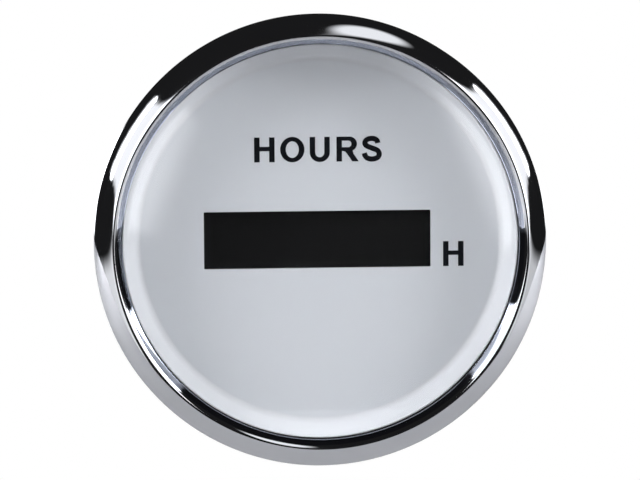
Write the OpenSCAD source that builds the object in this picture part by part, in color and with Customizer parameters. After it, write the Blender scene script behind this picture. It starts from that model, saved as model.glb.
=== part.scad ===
// Panel-mounted hour meter: a chromed round bezel and a domed lens over a white dial with a liquid
// crystal display, in a moulded cup that a clamp bracket and two thumb nuts hold against the panel.
// Drawing frame: x to the right, y up the dial and z out of the dial towards the viewer, with z = 0
// on the front of the panel. stand() turns it so that the dial looks along -Y and its top points to +Z.

/* [Bezel] */
// Reach of the bezel outside the barrel
bezel_reach = 5.25; // [4.6:0.05:7]
// Height of the bezel's crest above the panel
bezel_h = 8.8; // [8.4:0.1:10.4]
// Radius of the rolled shoulder outside the crest
bezel_roll = 2.7; // [2.4:0.1:2.9]
// Sheet thickness of the bezel
bezel_t = 0.6; // [0.4:0.05:0.7]
// Steepness of the inner lip that holds the lens, in degrees
bezel_lip_angle = 45; // [42:1:52]
// Drop from the crest to the rim of the lens
bezel_lip_drop = 1; // [0.9:0.05:1.2]
// Radius of the bend at the back edge
bezel_bend = 1; // [0.8:0.1:1.4]
// Width of the hem turned in behind the flange
bezel_hem = 1.6; // [1.2:0.1:1.8]

/* [Lens] */
// Thickness of the lens
lens_t = 2; // [1.5:0.1:2.4]
// Rise of the dome in the middle of the lens
lens_dome = 0.8; // [0.4:0.1:0.9]
// Overlap of the lens rim behind the inner lip
lens_lap = 1.7; // [1.4:0.1:1.9]
// Thickness of the lens gasket's floor
lens_gasket_t = 0.5; // [0.4:0.1:0.8]

/* [Dial] */
// Thickness of the dial plate
dial_t = 0.6; // [0.4:0.1:0.8]
// Width of the sloping ring round the flat dial
ring_slope = 1.95; // [1.6:0.05:2.4]
// Width of the display window
window_w = 31.2; // [28:0.2:32]
// Sideways offset of the display window on the dial
window_x = -0.3; // [-0.5:0.05:0.5]
// Height of the display window
window_h = 7.9; // [6:0.1:9]
// Thickness of the light guide behind the dial
guide_t = 2.2; // [1.8:0.1:2.6]

/* [Display] */
// Thickness of each glass of the display cell
glass_t = 0.9; // [0.7:0.05:1.1]
// Width of the contact ledge above and below the rear glass
contact_ledge = 2.3; // [2:0.1:2.6]
// Height of the contact strips between the glass and the board
strip_h = 5.5; // [4.8:0.1:6.5]
// Wall of the display frame at its ends
frame_end = 1.6; // [1.2:0.1:2.2]

/* [Cup] */
// Diameter of the barrel that passes through the panel
barrel_d = 51.5; // [50.5:0.25:52]
// Depth of the cup behind the panel
cup_depth = 24; // [22:0.5:32]
// Wall of the barrel
cup_wall = 2.4; // [2:0.1:2.6]
// Thickness of the back wall
back_t = 1.8; // [1.6:0.1:2.6]
// Thickness of the flange floor between the panel gasket and the dial
flange_floor = 1.2; // [1:0.1:1.6]
// Thickness of the panel gasket
panel_gasket_t = 1.2; // [1:0.1:1.5]
// Outer diameter of the posts that carry the board
post_d = 5.2; // [4.6:0.1:6]

/* [Board] */
// Thickness of the circuit board
board_t = 1.6; // [1:0.1:2]
// Diameter of the board screws' shanks
screw_d = 2.2; // [1.8:0.1:2.4]
// Length of the board screws below the head
screw_len = 8; // [6:0.5:10]

/* [Terminals] */
// Width of a terminal blade
blade_w = 6.3; // [4.8:0.1:6.3]
// Thickness of a terminal blade
blade_t = 0.8; // [0.5:0.05:1]
// Length of the blade outside the cup
blade_len = 8.4; // [7:0.1:10]
// Distance between neighbouring blades
blade_pitch = 9; // [8.6:0.1:9.2]
// Distance of the blades below the middle of the cup
blade_drop = 11; // [10.4:0.1:11.4]

/* [Clamp] */
// Diameter of the threaded studs
stud_d = 4; // [3:0.5:5]
// Distance between the studs
stud_pitch = 28; // [25:0.5:30]
// Width of the clamp strap
clamp_w = 12; // [10:0.5:14]
// Thickness of the clamp strap
clamp_t = 1.2; // [0.8:0.1:1.5]
// Distance from the end of each foot to the outside of the bezel
foot_inset = 0.7; // [0.4:0.05:1.2]
// Panel thickness at which the clamp is drawn
panel_t = 6; // [2:0.5:12]
// Thinnest panel that the clamp can hold
panel_min = 1; // [0.5:0.5:2]
// Thickest panel that the clamp can hold
panel_max = 14; // [12:0.5:18]
// Diameter of the knurled head of a thumb nut
nut_d = 10; // [9:0.5:12]
// Height of the knurled head of a thumb nut
nut_head_h = 4.2; // [3:0.1:6]
// Number of ridges round a thumb nut
nut_ridges = 36; // [24:1:48]

/* [Hidden] */
$fn = 96;

// Clearance between pieces that are seated in each other
seat_gap = 0.1;
// Radial clearance between a stud and the thumb nut that runs on it
thread_gap = 0.05;
// Overshoot of a cut past the surface that it leaves
over = 0.5;

// Bezel section
barrel_r = barrel_d / 2;
bezel_r = barrel_r + bezel_reach;
crest_r = bezel_r - bezel_roll;
shoulder_z = bezel_h - bezel_roll;
flange_back = panel_gasket_t;
bezel_back = flange_back - bezel_t;
hem_r = bezel_r - bezel_bend - bezel_hem;
fold_z = bezel_h - bezel_t;
fold_lap = 0.1;
fold_turn = 8;
lens_front = bezel_h - bezel_lip_drop;
lip_run = cos(bezel_lip_angle) / sin(bezel_lip_angle);
lip_start = [crest_r - bezel_t * sin(bezel_lip_angle), fold_z + bezel_t * cos(bezel_lip_angle)];
aperture_r = lip_start[0] - (lip_start[1] - lens_front) * lip_run;

// Lens and its gasket
lens_back = lens_front - lens_t;
lens_r = aperture_r + lens_lap;
dome_foot_r = aperture_r - 0.15;
dome_sphere_r = (pow(dome_foot_r, 2) + pow(lens_dome, 2)) / (2 * lens_dome);
dome_fn = 1440;
flange_front = lens_back - lens_gasket_t;
flange_r = bezel_r - bezel_t - seat_gap;
gasket_wall_h = 0.8;

// Dial, its sloping ring and the light guide
dial_seat = flange_back + flange_floor;
dial_front = dial_seat + dial_t;
ring_inset = 0.15;
ring_top_r = aperture_r - ring_inset;
ring_rim = 0.15;
ring_r = ring_top_r + ring_rim;
dial_view_r = ring_top_r - ring_slope;
counterbore_r = ring_r + seat_gap;
dial_r = ring_r - seat_gap;
peg_d = 1.2;
peg_r = dial_r - 1.2;
guide_back = dial_seat - guide_t;

// Cup
cup_r = barrel_r - cup_wall;
guide_seat = 0.8;
guide_pocket_r = cup_r + guide_seat;
guide_r = guide_pocket_r - seat_gap;
collar_r = barrel_r + 0.85;
cup_back = -cup_depth;
cup_floor = cup_back + back_t;
tail_r = barrel_r - 1.25;
tail_h = 6;
tail_slope = 1;
edge_chamfer = 1;
tail_in_r = tail_r - 2;
gasket_in_r = collar_r + seat_gap;
gasket_out_r = hem_r - seat_gap;

// Display cell, its frame and the contact strips
glass_margin = [1.6, 0.9, 0.75];
front_glass_w = window_w + 2 * glass_margin[0];
rear_glass_w = window_w + 2 * glass_margin[1];
rear_glass_h = window_h + 2 * glass_margin[2];
front_glass_h = rear_glass_h + 2 * contact_ledge;
glass_mid = dial_seat - glass_t;
glass_back = glass_mid - glass_t;
strip_t = contact_ledge - 0.6;
strip_y = front_glass_h / 2 - strip_t / 2 - 0.1;
strip_w = rear_glass_w;
frame_w = front_glass_w + 2 * frame_end;
frame_side = 1.3;
frame_h = front_glass_h + 2 * frame_side;
frame_top = dial_seat - 0.2;
frame_peg_d = 1.4;
frame_peg_at = [(frame_w + rear_glass_w) / 4, frame_h / 2 - 3.3];
glow_w = rear_glass_w;
glow_h = rear_glass_h - 1;
glow_back_gap = 1.2;
glow_ledge = 0.6;

// Board and its fixings
board_front = glass_mid - strip_h;
board_back = board_front - board_t;
board_r = cup_r - 0.35;
post_r = tail_in_r - post_d / 2 - 0.4;
post_angles = [55, 125, 270];
post_rib_t = 1.2;
pilot_d = screw_d - 0.4;
pilot_depth = screw_len - board_t + 1;
screw_head_d = 4;
screw_head_h = 1.4;

// Studs, clamp and thumb nuts
stud_x = stud_pitch / 2;
boss_h = 1;
boss_margin = 5;
boss_d = stud_d + boss_margin;
stud_head_w = 1.75 * stud_d;
stud_head_h = 3;
stud_boss_d = stud_head_w / cos(30) + 3;
clamp_spare = 0.5;
leg_h = cup_depth + boss_h + clamp_spare - panel_min;
leg_x = barrel_r + 1.05;
clamp_bend = 2.2;
foot_bend = clamp_t + 0.4;
foot_z = -panel_t;
bridge_front = foot_z - leg_h;
bridge_back = bridge_front - clamp_t;
clamp_x = bezel_r - foot_inset;
clamp_hole_d = stud_d + 0.5;
foot_round = 2.5;
bead_w = 5;
bead_rise = 0.7;
washer_d = 1.85 * stud_d;
washer_t = 0.9;
washer_slit = 0.6;
washer_back = bridge_back - washer_t;
nut_hub_d = stud_d + 3.2;
nut_hub_h = 1.8;
nut_h = nut_head_h + nut_hub_h;
nut_chamfer = 0.5;
knurl_depth = 0.35;
stud_end_spare = 0.4;
stud_end = -(leg_h + panel_max + clamp_t + washer_t + nut_h + stud_end_spare);
stud_tip = 0.5;

// Terminal blades
blade_x = [-blade_pitch, 0, blade_pitch];
blade_tip = cup_back - blade_len;
blade_taper = 1.2;
blade_hole_d = 1.6;
blade_hole_in = 3.2;
blade_shoulder = 0.8;
blade_shoulder_h = 1.5;
tail_w = 1.2;
tail_gap = 2.4;
shroud_wall = 1;
shroud_h = 1;

// Board components: their sizes
chip_spacing = 2.1;
chip_size = [7, 7, 1.5];
chip_leads = 8;
chip_lead_pitch = 0.8;
memory_size = [4, 5, 1.5];
memory_leads = 4;
memory_lead_pitch = 1.2;
lead_size = [1.1, 0.34, 0.2];
lead_knee = 0.4;
package_lift = 0.15;
crystal_can = [1.9, 3.3, 3.5];
crystal_base = [2.3, 0.5];
regulator_size = [6.4, 5.4, 2.3];
regulator_tab = [5.2, 2.2, 0.6];
regulator_lead = [0.8, 2.4, 2.3];
can_d = 6.3;
can_h = 6.6;
can_base = [6.6, 0.8];
can_crimp = 0.5;
diode_size = [4.4, 2.7, 2];
diode_lead = [5.2, 1.5, 0.5];
suppressor_size = [6, 4, 2];
suppressor_lead = [7, 2.4, 0.5];
lead_lift = 0.3;
resistor_size = [1.2, 2, 0.5];
filter_size = [1.2, 2, 0.9];
end_cap = 0.4;
led_well = [1.6, 2.4, 0.5];
led_angles = [39, 75, 105, 141, 222, 318];
led_r = board_r - 2.5;
led_size = [3.5, 2.8, 1.9];
display_led_x = glow_w / 4;
display_led_size = [3, 1.5, 1];

// Board components: their places on the back of the board, [x, y], with the rows kept off the posts
row_gap = 0.8;
row_y = post_r * sin(post_angles[0]) - post_d / 2 - row_gap - resistor_size[1] / 2;
crystal_gap = 0.3;
memory_gap = 0.5;
chip_at = [0, 4];
memory_at = [9, row_y - (filter_size[1] + memory_size[1]) / 2 - memory_gap];
crystal_at = [-10.4, row_y - resistor_size[1] / 2 - crystal_base[0] - crystal_gap];
regulator_at = [9.5, -2.5];
capacitor_at = [-8.4, 0];
diode_at = [-9.5, -6];
suppressor_at = [0, -6.4];
resistor_rows = [[-3, 11.5, 5], [-13.5, row_y, 3]];
filter_rows = [[8, row_y, 3], [13.5, 1, 2]];

// Colours
CHROME = [0.86, 0.87, 0.89];
CLEAR = [0.85, 0.9, 0.95, 0.35];
WHITE = [0.86, 0.88, 0.9];
MILK = [0.94, 0.94, 0.92];
BLACK = [0.07, 0.07, 0.075];
RUBBER = [0.1, 0.1, 0.1];
INK_BLACK = [0.03, 0.03, 0.035];
GLASS_DARK = [0.2, 0.22, 0.24];
BOARD_GREEN = [0.05, 0.3, 0.16];
BRASS = [0.78, 0.62, 0.3];
STEEL = [0.62, 0.63, 0.65];
TIN = [0.75, 0.75, 0.74];
CERAMIC = [0.62, 0.5, 0.38];

// Shared shapes

// Turns the drawing frame so that the dial faces -Y with its top up
module stand() {
    rotate([90, 0, 0]) children();
}

// Quarter of a sheet bend in the first quadrant
module quarter_bend(outer, t) {
    intersection() {
        difference() {
            circle(outer);
            circle(outer - t);
        }
        square(outer);
    }
}

// A block centred in x and y that starts at z
module block(w, h, z0, z1) {
    translate([-w / 2, -h / 2, z0]) cube([w, h, z1 - z0]);
}

// A flat profile drawn in x and z, given a thickness about the plane y = 0
module upright(t) {
    translate([0, t / 2, 0]) rotate([90, 0, 0]) linear_extrude(t) children();
}

// Places children at each board post
module at_posts() {
    for (a = post_angles) rotate(a) translate([post_r, 0, 0]) children();
}

// Turns a component over onto the back of the board
module on_board_back(at) {
    translate([at[0], at[1], board_back]) mirror([0, 0, 1]) children();
}

// Front pieces

module bezel() color(CHROME) stand() rotate_extrude() {
    translate([crest_r, shoulder_z]) quarter_bend(bezel_roll, bezel_t);
    translate([bezel_r - bezel_t, bezel_back + bezel_bend])
        square([bezel_t, shoulder_z - bezel_back - bezel_bend]);
    translate([bezel_r - bezel_bend, bezel_back + bezel_bend])
        mirror([0, 1]) quarter_bend(bezel_bend, bezel_t);
    translate([hem_r, bezel_back]) square([bezel_hem, bezel_t]);
    translate([crest_r, fold_z]) intersection() {
        circle(bezel_t);
        polygon([[0, 0], [fold_lap, 0], [fold_lap, 2 * bezel_t], [-2 * bezel_t, 2 * bezel_t],
                 2 * bezel_t * [-sin(bezel_lip_angle + fold_turn), cos(bezel_lip_angle + fold_turn)]]);
    }
    polygon([[crest_r, fold_z], lip_start, [aperture_r, lens_front],
             [crest_r - (fold_z - lens_front) * lip_run, lens_front]]);
}

// Half section of the dome above the height z
module dome_section(z) {
    intersection() {
        translate([0, z + lens_dome - dome_sphere_r]) circle(dome_sphere_r, $fn = dome_fn);
        translate([0, z]) square([dome_foot_r, lens_dome]);
    }
}

module lens() color(CLEAR) stand() rotate_extrude() difference() {
    union() {
        translate([0, lens_back]) square([lens_r, lens_t]);
        dome_section(lens_front);
    }
    dome_section(lens_back);
}

module lens_gasket() color(RUBBER) stand() rotate_extrude() {
    translate([counterbore_r, flange_front]) square([flange_r - counterbore_r, lens_gasket_t]);
    translate([lens_r + seat_gap, lens_back]) square([flange_r - lens_r - seat_gap, gasket_wall_h]);
}

module dial_ring() color(WHITE) stand() rotate_extrude()
    polygon([[dial_view_r, dial_front], [ring_r, dial_front], [ring_r, lens_back], [ring_top_r, lens_back]]);

module dial_pegs(d, h) {
    for (s = [-1, 1]) translate([s * peg_r, 0, dial_seat]) cylinder(d = d, h = h);
}

module dial_plate() color(WHITE) stand() difference() {
    translate([0, 0, dial_seat]) cylinder(r = dial_r, h = dial_t);
    translate([window_x, 0, 0]) block(window_w, window_h, dial_seat - over, dial_front + over);
    translate([0, 0, -over]) dial_pegs(peg_d + 2 * seat_gap, dial_t + 2 * over);
}

module light_guide() color(MILK) stand() difference() {
    translate([0, 0, guide_back]) cylinder(r = guide_r, h = guide_t);
    block(frame_w + 2 * seat_gap, frame_h + 2 * seat_gap, guide_back - over, dial_seat + over);
}

// Display

module lcd_front_glass() color(INK_BLACK) stand()
    block(front_glass_w, front_glass_h, glass_mid, dial_seat);

module lcd_rear_glass() color(GLASS_DARK) stand()
    block(rear_glass_w, rear_glass_h, glass_back, glass_mid);

// One contact strip, above the middle for side 1 and below it for side -1
module contact_strip(side) color(INK_BLACK) stand()
    translate([0, side * strip_y, 0]) block(strip_w, strip_t, board_front, glass_mid);

module display_frame() color(MILK) stand() {
    difference() {
        block(frame_w, frame_h, board_front, frame_top);
        block(front_glass_w + 2 * seat_gap, front_glass_h + 2 * seat_gap, glass_mid, frame_top + over);
        block(rear_glass_w + 2 * seat_gap, rear_glass_h + 2 * seat_gap, glass_back, glass_mid + over);
        block(glow_w + 2 * seat_gap, glow_h + 2 * seat_gap, board_front + glow_back_gap, glass_back + over);
        block(glow_w - 2 * glow_ledge, glow_h - 2 * glow_ledge, board_front - over, glass_back);
        for (s = [-1, 1]) translate([0, s * strip_y, 0])
            block(strip_w + 2 * seat_gap, strip_t + 2 * seat_gap, board_front - over, glass_mid + over);
    }
    for (s = [-1, 1]) translate([s * frame_peg_at[0], s * frame_peg_at[1], board_back])
        cylinder(d = frame_peg_d, h = board_t);
}

module display_glow_block() color(MILK) stand()
    block(glow_w, glow_h, board_front + glow_back_gap, glass_back);

module display_leds() color(MILK) stand()
    for (s = [-1, 1]) translate([s * display_led_x, 0, 0])
        block(display_led_size[0], display_led_size[1], board_front, board_front + display_led_size[2]);

// A top-emitting lamp: a white package with a shallow round well
module led_package() difference() {
    block(led_size[0], led_size[1], board_front, board_front + led_size[2]);
    translate([0, 0, board_front + led_size[2] - led_well[2]])
        cylinder(d1 = led_well[0], d2 = led_well[1], h = led_well[2] + 0.01);
}

module dial_leds() color(MILK) stand()
    for (a = led_angles) rotate(a) translate([led_r, 0, 0]) rotate(90) led_package();

// Board

module circuit_board() color(BOARD_GREEN) stand() difference() {
    translate([0, 0, board_back]) cylinder(r = board_r, h = board_t);
    at_posts() translate([0, 0, board_back - over]) cylinder(d = screw_d + 2 * seat_gap, h = board_t + 2 * over);
    for (s = [-1, 1]) translate([s * frame_peg_at[0], s * frame_peg_at[1], board_back - over])
        cylinder(d = frame_peg_d + 2 * seat_gap, h = board_t + 2 * over);
    for (x = blade_x, s = [-1, 1]) translate([x + s * tail_gap / 2, -blade_drop, 0])
        block(tail_w + 2 * seat_gap, blade_t + 2 * seat_gap, board_back - over, board_front + over);
}

// Pan-head screw with a cross recess, standing on the board
module board_screw() difference() {
    union() {
        translate([0, 0, board_front]) cylinder(d1 = screw_head_d, d2 = screw_head_d - 0.8, h = screw_head_h);
        translate([0, 0, board_front - screw_len]) cylinder(d = pilot_d - 0.02, h = screw_len);
    }
    for (a = [0, 90]) rotate(a) block(0.5, 2.2, board_front + 0.6, board_front + screw_head_h + over);
}

module board_screws() color(STEEL) stand() at_posts() board_screw();

// Surface-mount package with gull-wing leads along two or four sides
module leaded_package(size, leads, pitch, sides) {
    translate([0, 0, package_lift]) block(size[0], size[1], 0, size[2] - package_lift);
    for (side = sides, i = [0 : leads - 1]) rotate(side)
        translate([size[0] / 2 - over, (i - (leads - 1) / 2) * pitch - lead_size[1] / 2, 0]) {
            cube([over + lead_size[0], lead_size[1], lead_size[2]]);
            cube([over + lead_knee, lead_size[1], size[2] / 2]);
        }
}

module microcontroller() color(BLACK) stand() on_board_back(chip_at)
    leaded_package(chip_size, chip_leads, chip_lead_pitch, [0, 90, 180, 270]);

module memory_chip() color(BLACK) stand() on_board_back(memory_at)
    leaded_package(memory_size, memory_leads, memory_lead_pitch, [0, 180]);

// Metal can with round ends on a wider base flange
module quartz_crystal() color(TIN) stand() on_board_back(crystal_at) {
    for (s = [-1, 1]) translate([s * crystal_can[1], 0, 0]) {
        cylinder(r = crystal_base[0], h = crystal_base[1]);
        cylinder(r = crystal_can[0], h = crystal_can[2]);
    }
    block(2 * crystal_can[1], 2 * crystal_base[0], 0, crystal_base[1]);
    block(2 * crystal_can[1], 2 * crystal_can[0], 0, crystal_can[2]);
}

module voltage_regulator() color(BLACK) stand() on_board_back(regulator_at) {
    block(regulator_size[0], regulator_size[1], 0, regulator_size[2]);
    translate([0, (regulator_size[1] + regulator_tab[1]) / 2 - over, 0])
        block(regulator_tab[0], regulator_tab[1], 0, regulator_tab[2]);
    for (s = [-1, 1]) translate([s * regulator_lead[2], over - (regulator_size[1] + regulator_lead[1]) / 2, 0])
        block(regulator_lead[0], regulator_lead[1], 0, regulator_tab[2]);
}

module smoothing_capacitor() color(TIN) stand() on_board_back(capacitor_at) {
    block(can_base[0], can_base[0], 0, can_base[1]);
    cylinder(d = can_d, h = can_h);
    translate([0, 0, can_h]) cylinder(d1 = can_d, d2 = can_d - 2 * can_crimp, h = can_crimp);
}

// Moulded two-lead package on flat leads
module two_lead_package(body, lead) {
    translate([0, 0, lead_lift]) block(body[0], body[1], 0, body[2]);
    block(lead[0], lead[1], 0, lead[2]);
}

module protection_diode() color(BLACK) stand() on_board_back(diode_at)
    two_lead_package(diode_size, diode_lead);

module surge_suppressor() color(BLACK) stand() on_board_back(suppressor_at)
    two_lead_package(suppressor_size, suppressor_lead);

// Rows of small two-ended components: each row is [x, y, count]
module chip_row(rows, size) {
    for (row = rows, i = [0 : row[2] - 1])
        on_board_back([row[0] + i * chip_spacing, row[1]]) {
            block(size[0], size[1] - 2 * end_cap, 0, size[2] - 0.05);
            for (s = [-1, 1]) translate([0, s * (size[1] - end_cap) / 2, 0])
                block(size[0], end_cap + 0.01, 0, size[2]);
        }
}

module resistors() color(INK_BLACK) stand() chip_row(resistor_rows, resistor_size);

module filter_capacitors() color(CERAMIC) stand() chip_row(filter_rows, filter_size);

// Cup

module cup_wall_section() polygon([
    [0, cup_back], [tail_r - edge_chamfer, cup_back], [tail_r, cup_back + edge_chamfer],
    [tail_r, cup_back + tail_h], [barrel_r, cup_back + tail_h + tail_slope],
    [barrel_r, 0], [collar_r, 0], [collar_r, flange_back],
    [flange_r - bezel_bend / 2, flange_back], [flange_r, flange_back + bezel_bend / 2],
    [flange_r, flange_front], [counterbore_r, flange_front], [counterbore_r, dial_seat],
    [guide_pocket_r, dial_seat], [guide_pocket_r, guide_back], [cup_r, guide_back],
    [cup_r, cup_back + tail_h + tail_slope], [tail_in_r, cup_back + tail_h],
    [tail_in_r, cup_floor], [0, cup_floor]
]);

// Post for one board screw, tied to the barrel by a rib
module board_post() {
    translate([0, 0, cup_floor - over]) cylinder(d = post_d, h = board_back - cup_floor + over);
    translate([0, -post_rib_t / 2, cup_floor - over])
        cube([cup_r + over - post_r, post_rib_t, (board_back - cup_floor) * 0.8]);
}

module cup() color(BLACK) stand() difference() {
    union() {
        rotate_extrude() cup_wall_section();
        at_posts() board_post();
        for (s = [-1, 1]) translate([s * stud_x, 0, 0]) {
            translate([0, 0, cup_back - boss_h]) cylinder(d = boss_d, h = boss_h + over);
            translate([0, 0, cup_floor - over]) cylinder(d = stud_boss_d, h = stud_head_h + over);
        }
        for (x = blade_x) translate([x, -blade_drop, 0])
            block(blade_w + 2 * shroud_wall, blade_t + 2 * shroud_wall, cup_back - shroud_h, cup_back + over);
        translate([0, 0, -over]) dial_pegs(peg_d, dial_t - seat_gap + over);
    }
    for (s = [-1, 1]) translate([s * stud_x, 0, 0]) {
        translate([0, 0, cup_back - boss_h - over])
            cylinder(d = stud_d + 2 * thread_gap, h = boss_h + back_t + 2 * over);
        translate([0, 0, cup_floor]) cylinder(d = stud_head_w / cos(30) + 0.02, h = stud_head_h + over, $fn = 6);
    }
    for (x = blade_x) translate([x, -blade_drop, 0])
        block(blade_w + 2 * seat_gap, blade_t + 2 * seat_gap, cup_back - shroud_h - over, cup_floor + over);
    at_posts() translate([0, 0, board_back - pilot_depth]) cylinder(d = pilot_d, h = pilot_depth + over);
}

module panel_gasket() color(RUBBER) stand() rotate_extrude()
    translate([gasket_in_r, 0]) square([gasket_out_r - gasket_in_r, panel_gasket_t]);

// Stamped blade with a shoulder on the cup's floor and two tails through the board
module terminal_profile() {
    half = blade_w / 2;
    wide = half + blade_shoulder;
    shoulder_top = cup_floor + blade_shoulder_h;
    tail_in = tail_gap / 2 - tail_w / 2;
    tail_edge = tail_in + tail_w;
    right = [
        [tail_in, board_back], [tail_in, board_front], [tail_edge, board_front], [tail_edge, board_back],
        [half, board_back], [half, shoulder_top], [wide, shoulder_top], [wide, cup_floor],
        [half, cup_floor], [half, blade_tip + blade_taper], [half - blade_taper, blade_tip]
    ];
    left = [for (i = [len(right) - 1 : -1 : 0]) [-right[i][0], right[i][1]]];
    difference() {
        polygon(concat(right, left));
        translate([0, blade_tip + blade_hole_in]) circle(d = blade_hole_d, $fn = 32);
    }
}

module terminal(x) color(BRASS) stand() translate([x, -blade_drop, 0]) upright(blade_t) terminal_profile();

// Clamp

module stud(side) color(STEEL) stand() translate([side * stud_x, 0, 0]) {
    translate([0, 0, cup_floor]) cylinder(d = stud_head_w / cos(30), h = stud_head_h, $fn = 6);
    translate([0, 0, stud_end + stud_tip]) cylinder(d = stud_d, h = cup_floor - stud_end - stud_tip + over);
    translate([0, 0, stud_end]) cylinder(d1 = stud_d - 2 * stud_tip, d2 = stud_d, h = stud_tip);
}

// Right half of the strap's section in x and z: bridge, leg and outward foot
module strap_half() {
    bend_x = leg_x + clamp_t - clamp_bend;
    translate([0, bridge_back]) square([bend_x, clamp_t]);
    translate([bend_x, bridge_back + clamp_bend]) mirror([0, 1]) quarter_bend(clamp_bend, clamp_t);
    translate([leg_x, bridge_back + clamp_bend])
        square([clamp_t, foot_z - foot_bend - bridge_back - clamp_bend]);
    translate([leg_x + foot_bend, foot_z - foot_bend]) mirror([1, 0]) quarter_bend(foot_bend, clamp_t);
    translate([leg_x + foot_bend, foot_z - clamp_t]) square([clamp_x - leg_x - foot_bend, clamp_t]);
}

// Outline of the strap seen from the front, with rounded feet
module strap_outline() {
    square([2 * clamp_x, clamp_w - 2 * foot_round], center = true);
    square([2 * clamp_x - 2 * foot_round, clamp_w], center = true);
    for (sx = [-1, 1], sy = [-1, 1])
        translate([sx * (clamp_x - foot_round), sy * (clamp_w / 2 - foot_round)]) circle(foot_round);
}

// Pressed stiffening bead along the bridge, between the studs
module bead(w, rise) {
    reach = stud_x - boss_d / 2 - 1;
    for (s = [-1, 1]) translate([s * (reach - w / 2), 0, 0]) cylinder(d1 = w - 2 * rise, d2 = w, h = rise);
    rotate([0, 90, 0]) translate([0, 0, w / 2 - reach]) linear_extrude(2 * reach - w)
        polygon([[0, rise - w / 2], [0, w / 2 - rise], [-rise, w / 2], [-rise, -w / 2]]);
}

module clamp_bracket() color(STEEL) stand() difference() {
    union() {
        intersection() {
            upright(clamp_w) {
                strap_half();
                mirror([1, 0]) strap_half();
            }
            translate([0, 0, bridge_back - over]) linear_extrude(leg_h + clamp_t + 2 * over) strap_outline();
        }
        translate([0, 0, bridge_back - bead_rise]) bead(bead_w, bead_rise);
    }
    translate([0, 0, bridge_front - bead_rise]) bead(bead_w - 1, bead_rise);
    for (s = [-1, 1]) translate([s * stud_x, 0, bridge_back - over])
        cylinder(d = clamp_hole_d, h = clamp_t + 2 * over);
}

module lock_washers() color(STEEL) stand()
    for (s = [-1, 1]) translate([s * stud_x, 0, washer_back]) difference() {
        cylinder(d = washer_d, h = washer_t);
        translate([0, 0, -over]) cylinder(d = stud_d + 0.3, h = washer_t + 2 * over);
        rotate([20, 0, 0]) translate([0, -washer_slit / 2, -2 * washer_t])
            cube([washer_d, washer_slit, 5 * washer_t]);
    }

// Knurled outline with a ridge at every step round the head
module knurl_outline() {
    ridges = round(nut_ridges);
    step = 360 / ridges;
    polygon([for (i = [0 : ridges - 1], half = [0, 1])
        (nut_d / 2 - half * knurl_depth) * [cos((i + half / 2) * step), sin((i + half / 2) * step)]]);
}

module thumb_nut(side) color(BRASS) stand() translate([side * stud_x, 0, washer_back - nut_h]) difference() {
    union() {
        intersection() {
            linear_extrude(nut_head_h) knurl_outline();
            rotate_extrude() polygon([
                [0, 0], [nut_d / 2 - nut_chamfer, 0], [nut_d / 2 + over, nut_chamfer + over],
                [nut_d / 2 + over, nut_head_h - nut_chamfer - over],
                [nut_d / 2 - nut_chamfer, nut_head_h], [0, nut_head_h]
            ]);
        }
        translate([0, 0, nut_head_h - over]) cylinder(d = nut_hub_d, h = nut_hub_h + over);
    }
    translate([0, 0, -over]) cylinder(d = stud_d + 2 * thread_gap, h = nut_h + 2 * over);
}

bezel();
lens();
lens_gasket();
dial_ring();
dial_plate();
light_guide();
lcd_front_glass();
lcd_rear_glass();
display_frame();
contact_strip(1);  // contact_strip_upper
contact_strip(-1);  // contact_strip_lower
display_glow_block();
display_leds();
dial_leds();
circuit_board();
board_screws();
microcontroller();
memory_chip();
quartz_crystal();
voltage_regulator();
smoothing_capacitor();
protection_diode();
surge_suppressor();
resistors();
filter_capacitors();
cup();
panel_gasket();
terminal(blade_x[0]);  // terminal_positive
terminal(blade_x[1]);  // terminal_negative
terminal(blade_x[2]);  // terminal_lamp
stud(-1);  // stud_left
stud(1);  // stud_right
clamp_bracket();
lock_washers();
thumb_nut(-1);  // thumb_nut_left
thumb_nut(1);  // thumb_nut_right
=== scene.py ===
"""Round panel hour meter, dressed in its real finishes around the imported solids.

The meter's drawing frame has x to the right, y up the dial and z out of the dial towards the reader,
in millimetres, with z = 0 on the front of the panel. seat() turns it into the part's own frame.
"""

import logging
import math
from dataclasses import dataclass, field
from enum import Enum, unique
from typing import Iterable, Optional, Sequence, Union

import bmesh
import bpy
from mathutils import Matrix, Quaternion, Vector


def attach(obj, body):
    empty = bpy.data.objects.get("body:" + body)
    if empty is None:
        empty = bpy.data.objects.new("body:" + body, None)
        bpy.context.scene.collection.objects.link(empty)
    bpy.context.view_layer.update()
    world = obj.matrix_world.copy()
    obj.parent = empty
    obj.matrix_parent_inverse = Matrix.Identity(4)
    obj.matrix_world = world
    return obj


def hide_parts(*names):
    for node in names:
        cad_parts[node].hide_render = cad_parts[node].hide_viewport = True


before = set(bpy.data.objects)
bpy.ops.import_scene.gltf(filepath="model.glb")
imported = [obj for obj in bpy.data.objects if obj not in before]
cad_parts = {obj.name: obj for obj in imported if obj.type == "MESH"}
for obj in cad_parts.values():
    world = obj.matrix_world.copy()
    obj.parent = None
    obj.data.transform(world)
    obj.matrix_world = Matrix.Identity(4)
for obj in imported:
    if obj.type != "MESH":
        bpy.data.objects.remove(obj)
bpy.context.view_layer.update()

LOG = logging.getLogger("hour_meter")
MM = 0.001

Point = tuple[float, float]
Corner = tuple[float, ...]
Colour = tuple[float, float, float]
Loop = list[Point]
Feed = Union[float, bpy.types.NodeSocket]


class Body(Enum):
    """The bodies that pieces ride on."""

    METER = "meter"
    CLAMP = "clamp"
    NUT_LEFT = "thumb_nut_left"
    NUT_RIGHT = "thumb_nut_right"


class Side(Enum):
    """Left and right of the dial, as the reader sees it."""

    LEFT = -1
    RIGHT = 1


# Drawing frame and outlines


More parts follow.
